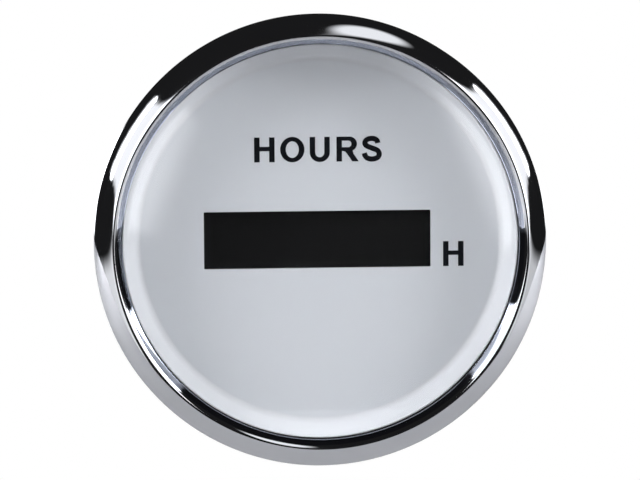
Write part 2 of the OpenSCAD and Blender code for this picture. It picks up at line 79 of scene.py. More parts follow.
def seat(x: float, y: float, z: float) -> Vector:
    """Turns a point of the drawing frame, in millimetres, into the part's frame, in metres."""
    return Vector((x * MM, -z * MM, y * MM))


def arc(centre: Point, radii: Point, start: float, end: float, steps: int = 12) -> Loop:
    """Gives points along part of an ellipse.

    Args:
        centre: Middle of the ellipse.
        radii: Its half width and half height.
        start: Angle of the first point, in degrees.
        end: Angle of the last point, in degrees.
        steps: Number of steps between them.

    Returns:
        The points, both ends included.
    """
    turns = [math.radians(start + (end - start) * i / steps) for i in range(steps + 1)]
    return [(centre[0] + radii[0] * math.cos(t), centre[1] + radii[1] * math.sin(t)) for t in turns]


def rounded(corners: Sequence[Corner], steps: int = 6) -> Loop:
    """Rounds the corners of a closed outline.

    Args:
        corners: (x, y) for a sharp corner, or (x, y, radius) for a round one.
        steps: Number of steps in each round.

    Returns:
        The points of the rounded outline.
    """
    points: Loop = []
    for i, corner in enumerate(corners):
        here = Vector(corner[:2])
        if len(corner) < 3:
            points.append((here.x, here.y))
            continue
        before = (Vector(corners[i - 1][:2]) - here).normalized()
        after = (Vector(corners[(i + 1) % len(corners)][:2]) - here).normalized()
        half = before.angle(after) / 2
        centre = here + (before + after).normalized() * corner[2] / math.sin(half)
        reach = corner[2] / math.tan(half)
        first, last = here + before * reach - centre, here + after * reach - centre
        start = math.degrees(math.atan2(first.y, first.x))
        sweep = math.degrees(math.atan2(last.y, last.x)) - start
        sweep = (sweep + 180) % 360 - 180
        points += arc((centre.x, centre.y), (corner[2], corner[2]), start, start + sweep, steps)
    return points


def smooth_line(knots: Sequence[Point], steps: int = 6) -> Loop:
    """Gives a smooth curve through given knots, with straight ends.

    Args:
        knots: Points that the curve passes through.
        steps: Number of steps from knot to knot.

    Returns:
        The points of the curve.
    """
    ends = [tuple(2 * Vector(knots[0]) - Vector(knots[1])), tuple(2 * Vector(knots[-1]) - Vector(knots[-2]))]
    row = [Vector(p) for p in (ends[0], *knots, ends[1])]
    points: Loop = []
    for i in range(1, len(row) - 2):
        a, b, c, d = row[i - 1 : i + 3]
        for k in range(steps):
            t = k / steps
            spot = b + (c - a) * t / 2 + (2 * a - 5 * b + 4 * c - d) * t**2 / 2
            spot += (3 * b - a - 3 * c + d) * t**3 / 2
            points.append((spot.x, spot.y))
    points.append(tuple(knots[-1]))
    return points


def ribbon(centreline: Loop, width: float) -> Loop:
    """Gives the outline of a stroke of even width along a centreline, left side first and then right.

    Args:
        centreline: Points along the middle of the stroke.
        width: Width of the stroke.

    Returns:
        The closed outline.
    """
    sides: tuple[Loop, Loop] = ([], [])
    for i, spot in enumerate(centreline):
        ahead = Vector(centreline[min(i + 1, len(centreline) - 1)])
        behind = Vector(centreline[max(i - 1, 0)])
        along = (ahead - behind).normalized()
        across = Vector((-along.y, along.x)) * width / 2
        for side, offset in zip(sides, (across, -across)):
            edge = Vector(spot) + offset
            if not side or (edge - Vector(side[-1])).dot(along) > 0.001:
                side.append((edge.x, edge.y))
    return sides[0] + sides[1][::-1]


# Meshes


def finished(bm: bmesh.types.BMesh, name: str, sharp: float = 32.0) -> bpy.types.Mesh:
    """Turns a bmesh into a mesh with outward faces, smooth but for its sharp edges.

    Args:
        bm: The shape, which is freed.
        name: Name of the mesh.
        sharp: Edges that turn by more than this many degrees stay sharp.

    Returns:
        The mesh.
    """
    bmesh.ops.remove_doubles(bm, verts=bm.verts, dist=1e-7)
    bmesh.ops.recalc_face_normals(bm, faces=bm.faces)
    mesh = bpy.data.meshes.new(name)
    bm.to_mesh(mesh)
    bm.free()
    mesh.shade_smooth()
    mesh.set_sharp_from_angle(angle=math.radians(sharp))
    return mesh


def spin(bm: bmesh.types.BMesh, profile: Loop, segments: int, centre: Point = (0.0, 0.0)) -> None:
    """Adds a body of revolution round an axis that stands on the dial.

    Args:
        bm: The bmesh that takes it.
        profile: Half section in radius and z, closed, or open with both ends on the axis.
        segments: Number of steps round the axis.
        centre: Place of the axis in x and y.
    """
    rings = []
    for radius, z in profile:
        if radius < 1e-6:
            rings.append([bm.verts.new(seat(*centre, z))] * segments)
            continue
        turns = [2 * math.pi * i / segments for i in range(segments)]
        rings.append(
            [
                bm.verts.new(seat(centre[0] + radius * math.cos(t), centre[1] + radius * math.sin(t), z))
                for t in turns
            ]
        )
    closed = profile[0][0] > 1e-6
    for i in range(len(rings) if closed else len(rings) - 1):
        a, b = rings[i], rings[(i + 1) % len(rings)]
        for k in range(segments):
            n = (k + 1) % segments
            corners = list(dict.fromkeys((a[k], a[n], b[n], b[k])))
            if len(corners) > 2:
                bm.faces.new(corners)


def prism(bm: bmesh.types.BMesh, loops: Sequence[Loop], back: float, front: float) -> None:
    """Adds a flat plate with its outline and holes, between two heights of z.

    Args:
        bm: The bmesh that takes it.
        loops: The outline first, then the holes, in x and y.
        back: Lower z.
        front: Upper z.
    """
    sheets = []
    for z in (back, front):
        edges, rings = [], []
        for loop in loops:
            ring = [bm.verts.new(seat(x, y, z)) for x, y in loop]
            edges += [bm.edges.new((ring[i - 1], ring[i])) for i in range(len(ring))]
            rings.append(ring)
        bmesh.ops.triangle_fill(bm, use_beauty=True, use_dissolve=False, edges=edges)
        sheets.append(rings)
    for low, high in zip(*sheets):
        for i in range(len(low)):
            bm.faces.new((low[i - 1], low[i], high[i], high[i - 1]))


def cad_copy(node: str) -> bmesh.types.BMesh:
    """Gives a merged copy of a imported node's mesh, with flat faces made whole.

    Args:
        node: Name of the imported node.

    Returns:
        The copy.
    """
    bm = bmesh.new()
    bm.from_mesh(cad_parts[node].data)
    bmesh.ops.remove_doubles(bm, verts=bm.verts, dist=2e-6)
    bmesh.ops.dissolve_limit(bm, angle_limit=math.radians(0.5), verts=bm.verts, edges=bm.edges)
    return bm


def plain_mesh(holder: bpy.types.Object, name: str) -> bpy.types.Mesh:
    """Evaluates an object's modifiers into a plain mesh and removes the object.

    Args:
        holder: The object with its modifiers.
        name: Name of the mesh.

    Returns:
        The plain mesh.
    """
    holder.update_tag()
    graph = bpy.context.evaluated_depsgraph_get()
    mesh = bpy.data.meshes.new_from_object(holder.evaluated_get(graph))
    mesh.name = name
    bpy.data.objects.remove(holder)
    return mesh


def held(mesh: bpy.types.Mesh, name: str) -> bpy.types.Object:
    """Puts a mesh on a new object in the scene.

    Args:
        mesh: The mesh.
        name: Name of the object.

    Returns:
        The new object.
    """
    holder = bpy.data.objects.new(name, mesh)
    bpy.context.scene.collection.objects.link(holder)
    return holder


def eased(mesh: bpy.types.Mesh, width: float, by_weight: bool = False, segments: int = 3) -> bpy.types.Mesh:
    """Rounds the sharp edges of a mesh.

    Args:
        mesh: The mesh to round.
        width: Width of the round, in millimetres.
        by_weight: Round only the edges that carry a bevel weight.
        segments: Steps in each round.

    Returns:
        A new mesh with rounded edges.
    """
    holder = held(mesh, mesh.name)
    bevel = holder.modifiers.new("eased_edges", "BEVEL")
    bevel.width = width * MM
    bevel.segments = segments
    bevel.limit_method = "WEIGHT" if by_weight else "ANGLE"
    bevel.angle_limit = math.radians(38)
    bevel.use_clamp_overlap = True
    bevel.miter_outer = "MITER_ARC"
    flat = holder.modifiers.new("flat_faces", "WEIGHTED_NORMAL")
    flat.keep_sharp = True
    return plain_mesh(holder, mesh.name)


# Node trees


class Graph:
    """A node tree under construction, with short ways to add nodes and join them."""

    def __init__(self, tree: bpy.types.NodeTree) -> None:
        """Starts from an emptied tree."""
        self.tree = tree
        tree.nodes.clear()

    def add(self, kind: str, **settings: object) -> bpy.types.Node:
        """Adds a node of a kind and sets its properties.

        Args:
            kind: Type of the node.
            settings: Properties of the node and their values.

        Returns:
            The new node.
        """
        node = self.tree.nodes.new(kind)
        for name, value in settings.items():
            setattr(node, name, value)
        return node

    def feed(self, target: bpy.types.NodeSocket, source: object) -> None:
        """Joins a socket to another socket, or sets it to a plain value.

        Args:
            target: The input to feed.
            source: Another socket, or a value.
        """
        if isinstance(source, bpy.types.NodeSocket):
            self.tree.links.new(source, target)
        else:
            target.default_value = source

    def math(self, operation: str, first: Feed, second: Feed = 0.0) -> bpy.types.NodeSocket:
        """Adds a math node on one or two values and gives its result.

        Args:
            operation: What it does.
            first: First value.
            second: Second value, where it takes one.

        Returns:
            The result.
        """
        node = self.add("ShaderNodeMath", operation=operation)
        self.feed(node.inputs[0], first)
        self.feed(node.inputs[1], second)
        return node.outputs[0]

    def ramp(self, value: Feed, low: Feed, high: Feed, bottom: Feed = 0.0,
             top: Feed = 1.0) -> bpy.types.NodeSocket:
        """Maps a value smoothly from one range to another, clamped.

        Args:
            value: The value.
            low: Start of its range.
            high: End of its range.
            bottom: Result at the start.
            top: Result at the end.

        Returns:
            The result.
        """
        node = self.add("ShaderNodeMapRange", interpolation_type="SMOOTHSTEP")
        names = ("Value", "From Min", "From Max", "To Min", "To Max")
        for name, source in zip(names, (value, low, high, bottom, top)):
            self.feed(node.inputs[name], source)
        return node.outputs[0]

    def blend(self, factor: Feed, first: object, second: object) -> bpy.types.NodeSocket:
        """Mixes two colours and gives the result.

        Args:
            factor: Share of the second colour.
            first: First colour, or a socket.
            second: Second colour, or a socket.

        Returns:
            The mixed colour.
        """
        node = self.add("ShaderNodeMix", data_type="RGBA")
        self.feed(node.inputs[0], factor)
        self.feed(node.inputs[6], (*first, 1.0) if isinstance(first, tuple) else first)
        self.feed(node.inputs[7], (*second, 1.0) if isinstance(second, tuple) else second)
        return node.outputs[2]

    def noise(self, vector: bpy.types.NodeSocket, scale: Feed, detail: float = 3.0) -> bpy.types.NodeSocket:
        """Adds a noise pattern and gives its value.

        Args:
            vector: Where the pattern is read.
            scale: Patches in a metre.
            detail: Number of finer layers.

        Returns:
            The value.
        """
        node = self.add("ShaderNodeTexNoise")
        self.feed(node.inputs["Vector"], vector)
        self.feed(node.inputs["Scale"], scale)
        node.inputs["Detail"].default_value = detail
        return node.outputs[0]


def new_group(name: str, inputs: dict[str, float],
              outputs: Sequence[str]) -> tuple[Graph, bpy.types.Node, bpy.types.Node]:
    """Makes an empty shader group of plain values.

    Args:
        name: Name of the group.
        inputs: Its input values and their defaults.
        outputs: Names of its output values.

    Returns:
        The graph, its input node and its output node.
    """
    tree = bpy.data.node_groups.new(name, "ShaderNodeTree")
    for label, default in inputs.items():
        socket = tree.interface.new_socket(name=label, in_out="INPUT", socket_type="NodeSocketFloat")
        socket.default_value = default
    for label in outputs:
        tree.interface.new_socket(name=label, in_out="OUTPUT", socket_type="NodeSocketFloat")
    graph = Graph(tree)
    return graph, graph.add("NodeGroupInput"), graph.add("NodeGroupOutput")


class Effects:
    """The shader groups that several finishes share, each built once.

    Attributes:
        _built: Groups made so far, by name.
    """

    _built: dict[str, bpy.types.NodeTree] = {}

    @classmethod
    def grain(cls) -> bpy.types.NodeTree:
        """Gives the moulded or plated surface grain: a broad mottle and a fine tooth.

        Returns:
            The group.
        """
        if "grain" not in cls._built:
            graph, start, end = new_group("surface_grain", {"Mottle Scale": 150.0, "Tooth Scale": 4000.0},
                                          ("Mottle", "Tooth"))
            where = graph.add("ShaderNodeTexCoord").outputs["Object"]
            graph.feed(end.inputs["Mottle"], graph.noise(where, start.outputs["Mottle Scale"], 4.0))
            graph.feed(end.inputs["Tooth"], graph.noise(where, start.outputs["Tooth Scale"], 2.0))
            cls._built["grain"] = graph.tree
        return cls._built["grain"]

    @classmethod
    def turning(cls) -> bpy.types.NodeTree:
        """Gives the fine rings that a lathe or a spinning tool leaves round an upright axis.

        Returns:
            The group.
        """
        if "turning" not in cls._built:
            graph, start, end = new_group("turning_rings", {"Axis X": 0.0, "Ring Scale": 3000.0}, ("Rings",))
            where = graph.add("ShaderNodeSeparateXYZ")
            graph.feed(where.inputs[0], graph.add("ShaderNodeTexCoord").outputs["Object"])
            across = graph.math("SUBTRACT", where.outputs["X"], start.outputs["Axis X"])
            squared = graph.math("ADD", graph.math("MULTIPLY", across, across),
                                 graph.math("MULTIPLY", where.outputs["Z"], where.outputs["Z"]))
            spread = graph.math("ADD", graph.math("SQRT", squared), where.outputs["Y"])
            rings = graph.add("ShaderNodeTexNoise", noise_dimensions="1D")
            graph.feed(rings.inputs["W"], spread)
            graph.feed(rings.inputs["Scale"], start.outputs["Ring Scale"])
            rings.inputs["Detail"].default_value = 3.0
            graph.feed(end.inputs["Rings"], rings.outputs[0])
            cls._built["turning"] = graph.tree
        return cls._built["turning"]

    @classmethod
    def dust(cls) -> bpy.types.NodeTree:
        """Gives a mask of light dust that settles on faces that look up.

        Returns:
            The group.
        """
        if "dust" not in cls._built:
            graph, start, end = new_group("settled_dust", {"Amount": 0.1, "Patch Scale": 260.0}, ("Dust",))
            facing = graph.add("ShaderNodeSeparateXYZ")
            graph.feed(facing.inputs[0], graph.add("ShaderNodeNewGeometry").outputs["Normal"])
            upward = graph.ramp(facing.outputs["Z"], 0.1, 1.0)
            where = graph.add("ShaderNodeTexCoord").outputs["Object"]
            patches = graph.ramp(graph.noise(where, start.outputs["Patch Scale"], 6.0), 0.4, 0.75)
            cover = graph.math("MULTIPLY", upward, patches)
            graph.feed(end.inputs["Dust"], graph.math("MULTIPLY", cover, start.outputs["Amount"]))
            cls._built["dust"] = graph.tree
        return cls._built["dust"]

    @classmethod
    def wear(cls) -> bpy.types.NodeTree:
        """Gives a mask of rubbed edges, broken up by noise.

        Returns:
            The group.
        """
        if "wear" not in cls._built:
            graph, start, end = new_group("rubbed_edges", {"Amount": 0.5, "Break Scale": 700.0}, ("Wear",))
            edge = graph.ramp(graph.add("ShaderNodeNewGeometry").outputs["Pointiness"], 0.52, 0.62)
            where = graph.add("ShaderNodeTexCoord").outputs["Object"]
            broken = graph.ramp(graph.noise(where, start.outputs["Break Scale"], 5.0), 0.35, 0.65)
            graph.feed(end.inputs["Wear"],
                       graph.math("MULTIPLY", graph.math("MULTIPLY", edge, broken), start.outputs["Amount"]))
            cls._built["wear"] = graph.tree
        return cls._built["wear"]


# Finishes


@dataclass(frozen=True)
class Finish:
    """A solid surface: its colour, gloss, grain, wear and dust.

    Attributes:
        name: Name of the material.
        colour: Base colour.
        metallic: 1 for a metal, 0 otherwise.
        roughness: Mean roughness.
        spread: How far the roughness strays from its mean.
        mottle: How far the colour strays from its mean, as a share.
        mottle_scale: Patches of the mottle in a metre.
        tooth_scale: Grains of the fine tooth in a metre.
        tooth_depth: Height of the fine tooth, in millimetres.
        wave_depth: Height of the broad waviness, in millimetres.
        ring_depth: Height of turned rings, in millimetres.
        ring_axis: Place in x of the axis of the turned rings, in millimetres.
        worn: Share of rubbed edges.
        worn_colour: Colour of rubbed edges.
        dust: Share of settled dust.
        dust_colour: Colour of settled dust.
        coat: Weight of a clear coat.
        specular: Strength of the plain gloss, 0.5 for a common plastic.
        lip_shade_within: Distance from the meter's axis within which the colour is painted darker and bluer,
            a painted dark reflection on the bezel's turned-in lip, in millimetres.
        lip_shade_colour: Colour of that painted shade.
        lip_shade_fade: How far within and beyond that distance the colour changes, in millimetres.
    """

    name: str
    colour: Colour
    metallic: float = 0.0
    roughness: float = 0.5
    spread: float = 0.06
    mottle: float = 0.06
    mottle_scale: float = 180.0
    tooth_scale: float = 5000.0
    tooth_depth: float = 0.0
    wave_depth: float = 0.0
    ring_depth: float = 0.0
    ring_axis: float = 0.0
    worn: float = 0.0
    worn_colour: Colour = (0.6, 0.6, 0.6)
    dust: float = 0.0
    coat: float = 0.0
    specular: float = 0.5
    lip_shade_within: float = 0.0
    lip_shade_colour: Colour = (0.43, 0.46, 0.54)
    lip_shade_fade: Point = (0.12, 0.05)
    dust_colour: Colour = (0.55, 0.54, 0.52)

    def group(self, graph: Graph, tree: bpy.types.NodeTree, **values: float) -> bpy.types.Node:
        """Places a shared effect in a material with this finish's own values.

        Args:
            graph: The material.
            tree: The effect.
            values: Its inputs and their values, with _ for a space.

        Returns:
            The new node.
        """
        node = graph.add("ShaderNodeGroup", node_tree=tree)
        for label, value in values.items():
            node.inputs[label.replace("_", " ")].default_value = value
        return node

    def colours(self, graph: Graph, mottle: bpy.types.NodeSocket) -> bpy.types.NodeSocket:
        """Gives the surface's colour with its mottle, its painted shade within a radius where it has one,
        wear and dust.

        Args:
            graph: The material.
            mottle: Broad mottle of the surface.

        Returns:
            The colour.
        """
        dark = tuple(c * (1 - self.mottle) for c in self.colour)
        light = tuple(min(1.0, c * (1 + self.mottle)) for c in self.colour)
        colour = graph.blend(graph.ramp(mottle, 0.3, 0.7), dark, light)
        # Painted shade: within a radius the colour turns darker and bluer, standing in for the dark
        # reflection on the bezel's lip.
        if self.lip_shade_within:
            colour = graph.blend(self.outside(graph), self.lip_shade_colour, colour)
        if self.worn:
            wear = self.group(graph, Effects.wear(), Amount=self.worn)
            colour = graph.blend(wear.outputs["Wear"], colour, self.worn_colour)
        if self.dust:
            dust = self.group(graph, Effects.dust(), Amount=self.dust)
            colour = graph.blend(dust.outputs["Dust"], colour, self.dust_colour)
        return colour

    def outside(self, graph: Graph) -> bpy.types.NodeSocket:
        """Gives 0 within the radius of painted shade and 1 outside that.

        Args:
            graph: The material.

        Returns:
            The mask.
        """
        spot = graph.add("ShaderNodeSeparateXYZ")
        graph.feed(spot.inputs[0], graph.add("ShaderNodeTexCoord").outputs["Object"])
        across, up = (graph.math("POWER", spot.outputs[axis], 2.0) for axis in ("X", "Z"))
        reach = graph.math("SQRT", graph.math("ADD", across, up))
        within, beyond = self.lip_shade_fade
        return graph.ramp(reach, (self.lip_shade_within - within) * MM, (self.lip_shade_within + beyond) * MM)

    def relief(self, graph: Graph, grain: bpy.types.Node) -> Optional[bpy.types.NodeSocket]:
        """Gives the surface's normal from its tooth, waves and rings, or None if it is plain.

        Args:
            graph: The material.
            grain: Grain of the surface.

        Returns:
            The normal, if it has one.
        """
        layers = [(grain.outputs["Tooth"], self.tooth_depth), (grain.outputs["Mottle"], self.wave_depth)]
        if self.ring_depth:
            rings = self.group(graph, Effects.turning(), Axis_X=self.ring_axis * MM)
            layers.append((rings.outputs["Rings"], self.ring_depth))
        normal = None
        for height, depth in layers:
            if not depth:
                continue
            bump = graph.add("ShaderNodeBump")
            bump.inputs["Distance"].default_value = depth * MM
            graph.feed(bump.inputs["Height"], height)
            if normal is not None:
                graph.feed(bump.inputs["Normal"], normal)
            normal = bump.outputs["Normal"]
        return normal

    def material(self) -> bpy.types.Material:
        """Makes the material, or gives the one that was made before.

        Returns:
            The material.
        """
        if self.name in bpy.data.materials:
            return bpy.data.materials[self.name]
        material = bpy.data.materials.new(self.name)
        material.use_nodes = True
        graph = Graph(material.node_tree)
        shader = graph.add("ShaderNodeBsdfPrincipled")
        grain = self.group(graph, Effects.grain(), Mottle_Scale=self.mottle_scale,
                           Tooth_Scale=self.tooth_scale)
        graph.feed(shader.inputs["Base Color"], self.colours(graph, grain.outputs["Mottle"]))
        graph.feed(shader.inputs["Roughness"],
                   graph.ramp(grain.outputs["Mottle"], 0.3, 0.7, self.roughness - self.spread / 2,
                              self.roughness + self.spread / 2))
        shader.inputs["Metallic"].default_value = self.metallic
        shader.inputs["Coat Weight"].default_value = self.coat
        shader.inputs["Specular IOR Level"].default_value = self.specular
        normal = self.relief(graph, grain)
        if normal is not None:
            graph.feed(shader.inputs["Normal"], normal)
        graph.feed(graph.add("ShaderNodeOutputMaterial").inputs["Surface"], shader.outputs[0])
        return material


@dataclass(frozen=True)
class ClearFinish:
    """Clear glass or acrylic that lets lamps through to what is behind it.

    Attributes:
        name: Name of the material.
        tint: Colour of the light that passes.
        ior: Index of refraction.
        haze: Roughness of the polished surface where it is lightly wiped.
    """

    name: str
    tint: Colour = (0.985, 0.992, 1.0)
    ior: float = 1.5
    haze: float = 0.012

    def material(self) -> bpy.types.Material:
        """Makes the material.

        Returns:
            The material.
        """
        material = bpy.data.materials.new(self.name)
        material.use_nodes = True
        graph = Graph(material.node_tree)
        glass = graph.add("ShaderNodeBsdfPrincipled")
        glass.inputs["Base Color"].default_value = (*self.tint, 1.0)
        glass.inputs["Transmission Weight"].default_value = 1.0
        glass.inputs["IOR"].default_value = self.ior
        grain = graph.add("ShaderNodeGroup", node_tree=Effects.grain())
        grain.inputs["Mottle Scale"].default_value = 90.0
        graph.feed(glass.inputs["Roughness"], graph.ramp(grain.outputs["Mottle"], 0.45, 0.8, 0.0, self.haze))
        path = graph.add("ShaderNodeLightPath")
        shader = glass.outputs[0]
        for rays in ("Is Shadow Ray", "Is Diffuse Ray"):
            mix = graph.add("ShaderNodeMixShader")
            graph.feed(mix.inputs[0], path.outputs[rays])
            graph.feed(mix.inputs[1], shader)
            graph.feed(mix.inputs[2], graph.add("ShaderNodeBsdfTransparent").outputs[0])
            shader = mix.outputs[0]
        graph.feed(graph.add("ShaderNodeOutputMaterial").inputs["Surface"], shader)
        return material


# The chrome is painted darker and bluer on the turned-in lip, inside 27.86 mm: a painted dark reflection.
CHROME = Finish("polished_chrome", (0.86, 0.87, 0.9), 1.0, 0.035, 0.03, 0.02, 120.0, 2600.0, 0.0, 0.0006,
                lip_shade_within=27.86)
DIAL_PAINT = Finish("dial_paint", (0.66, 0.685, 0.735), 0.0, 0.42, 0.06, 0.012, 70.0, 9000.0, 0.004)
DIAL_INK = Finish("dial_ink", (0.0025, 0.003, 0.0055), 0.0, 0.5, 0.08, 0.3, 400.0, 9000.0, 0.003,
                  specular=0.12)
RING_PLASTIC = Finish("white_ring_plastic", (0.77, 0.78, 0.805), 0.0, 0.4, 0.05, 0.012, 60.0, 7000.0, 0.003)
WHITE_PLASTIC = Finish("white_moulding", (0.8, 0.81, 0.82), 0.0, 0.5, 0.06, 0.03, 150.0, 6000.0, 0.006)
MILK_PLASTIC = Finish("milky_diffuser", (0.84, 0.84, 0.8), 0.0, 0.55, 0.05, 0.02, 150.0, 6000.0, 0.004)
GUIDE_PLASTIC = Finish("light_guide_acrylic", (0.8, 0.83, 0.83), 0.0, 0.12, 0.05, 0.03, 90.0, 3000.0, 0.0)
DISPLAY_BLACK = Finish("display_polariser", (0.0092, 0.0092, 0.0094), 0.0, 0.09, 0.04, 0.06, 120.0)
DISPLAY_GLASS = Finish("display_rear_glass", (0.03, 0.033, 0.036), 0.0, 0.15, 0.05, 0.06, 120.0)
CONTACT_RUBBER = Finish("contact_rubber", (0.03, 0.03, 0.032), 0.0, 0.7, 0.1, 0.4, 3000.0, 6000.0, 0.01)
LAMP_PACKAGE = Finish("lamp_package", (0.8, 0.79, 0.72), 0.0, 0.35, 0.08, 0.05, 500.0, 6000.0, 0.003)
SOLDER_MASK = Finish("solder_mask", (0.012, 0.11, 0.05), 0.0, 0.3, 0.1, 0.25, 420.0, 2500.0, 0.008)
CHIP_EPOXY = Finish("chip_epoxy", (0.022, 0.022, 0.024), 0.0, 0.6, 0.1, 0.12, 900.0, 9000.0, 0.006)
DRAWN_CAN = Finish("drawn_can", (0.68, 0.68, 0.67), 1.0, 0.3, 0.1, 0.05, 300.0, 6000.0, 0.001)
RESISTOR_GLAZE = Finish("resistor_glaze", (0.02, 0.02, 0.022), 0.0, 0.35, 0.1, 0.2, 1500.0)
CAPACITOR_CLAY = Finish("capacitor_ceramic", (0.36, 0.24, 0.14), 0.0, 0.45, 0.1, 0.1, 1500.0)
CUP_PLASTIC = Finish("cup_moulding", (0.021, 0.021, 0.0225), 0.0, 0.46, 0.08, 0.14, 160.0, 2600.0, 0.02,
                     worn=0.35, worn_colour=(0.075, 0.075, 0.078), dust=0.07)
RUBBER = Finish("gasket_rubber", (0.017, 0.017, 0.0175), 0.0, 0.72, 0.1, 0.18, 220.0, 3500.0, 0.02,
                dust=0.16)
ZINC = Finish("zinc_plate", (0.62, 0.63, 0.655), 1.0, 0.34, 0.03, 0.06, 240.0, 3200.0, 0.002, 0.001,
              worn=0.3, worn_colour=(0.78, 0.78, 0.8))
SPRING_STEEL = Finish("spring_steel", (0.42, 0.42, 0.44), 1.0, 0.34, 0.14, 0.1, 500.0, 4200.0, 0.003)
TINNED_BRASS = Finish("tinned_brass", (0.7, 0.675, 0.6), 1.0, 0.32, 0.05, 0.07, 320.0, 3600.0, 0.002, 0.003,
                      worn=0.4, worn_colour=(0.72, 0.55, 0.28))
STUD_ZINC = Finish("stud_zinc", (0.58, 0.585, 0.6), 1.0, 0.32, 0.14, 0.1, 600.0, 4000.0, 0.002)
NUT_LEFT_NICKEL = Finish("nickel_left_nut", (0.7, 0.67, 0.6), 1.0, 0.24, 0.1, 0.05, 300.0, 4000.0, 0.001,
                         ring_depth=0.004, ring_axis=-14.0)
NUT_RIGHT_NICKEL = Finish("nickel_right_nut", (0.7, 0.67, 0.6), 1.0, 0.24, 0.1, 0.05, 300.0, 4000.0, 0.001,
                          ring_depth=0.004, ring_axis=14.0)
LENS_GLASS = ClearFinish("clear_lens")


def dress(node: str, finish: Finish) -> None:
    """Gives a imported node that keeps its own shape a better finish.

    Args:
        node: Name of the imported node.
        finish: Its finish.
    """
    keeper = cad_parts[node]
    keeper.data.materials.clear()
    keeper.data.materials.append(finish.material())
    LOG.info("dressed %s in %s", node, finish.name)


def place(mesh: bpy.types.Mesh, name: str, body: Body, finish: Union[Finish, ClearFinish, None],
          nodes: Iterable[str] = ()) -> bpy.types.Object:
    """Puts a finished mesh in the scene as a piece.

    Args:
        mesh: The mesh, in the part's frame.
        name: Name of the piece.
        body: Body that it rides on.
        finish: Its finish, or None if the mesh already carries its material.
        nodes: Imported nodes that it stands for.

    Returns:
        The new object.
    """
    piece = held(mesh, name)
    if finish is not None:
        mesh.materials.clear()
        mesh.materials.append(finish.material())
    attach(piece, body.value)
    if nodes:
        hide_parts(*nodes)
    LOG.info("placed %s on %s with %d faces", name, body.value, len(mesh.polygons))
    return piece


# Geometry node trees


def node_tree(name: str, inputs: dict[str, str]) -> tuple[Graph, bpy.types.Node, bpy.types.Node]:
    """Makes an empty geometry tree with named inputs and one geometry output.

    Args:
        name: Name of the tree.
        inputs: Names of the inputs and their socket types.

    Returns:
        The graph, its input node and its output node.
    """
    tree = bpy.data.node_groups.new(name, "GeometryNodeTree")
    for label, kind in inputs.items():
        tree.interface.new_socket(name=label, in_out="INPUT", socket_type=kind)
    tree.interface.new_socket(name="Geometry", in_out="OUTPUT", socket_type="NodeSocketGeometry")
    graph = Graph(tree)
    return graph, graph.add("NodeGroupInput"), graph.add("NodeGroupOutput")


def close_tree(graph: Graph, start: bpy.types.Node, end: bpy.types.Node,
               geometry: bpy.types.NodeSocket) -> None:
    """Ends a geometry tree in realized, smooth geometry with the material of its Finish input.

    Args:
        graph: The tree.
        start: Its input node.
        end: Its output node.
        geometry: The geometry that it ends in.
    """
    smooth = graph.add("GeometryNodeSetShadeSmooth")
    graph.feed(smooth.inputs["Geometry"], geometry)
    real = graph.add("GeometryNodeRealizeInstances")
    graph.feed(real.inputs["Geometry"], smooth.outputs["Geometry"])
    coat = graph.add("GeometryNodeSetMaterial")
    graph.feed(coat.inputs["Geometry"], real.outputs["Geometry"])
    graph.feed(coat.inputs["Material"], start.outputs["Finish"])
    graph.feed(end.inputs["Geometry"], coat.outputs["Geometry"])


def grown(name: str, graph: Graph, values: dict[str, object],
          blank: Optional[bpy.types.Mesh] = None) -> bpy.types.Mesh:
    """Runs a geometry tree and gives its result as a plain mesh.

    Args:
        name: Name of the mesh.
        graph: The tree.
        values: Values of its inputs, by name.
        blank: Mesh that the tree starts from, if it takes one.

    Returns:
        The mesh that the tree makes.
    """
    holder = held(blank or bpy.data.meshes.new(name), name)
    modifier = holder.modifiers.new(name, "NODES")
    modifier.node_group = graph.tree
    for item in graph.tree.interface.items_tree:
        if item.in_out == "INPUT" and item.name in values:
            modifier[item.identifier] = values[item.name]
    return plain_mesh(holder, name)


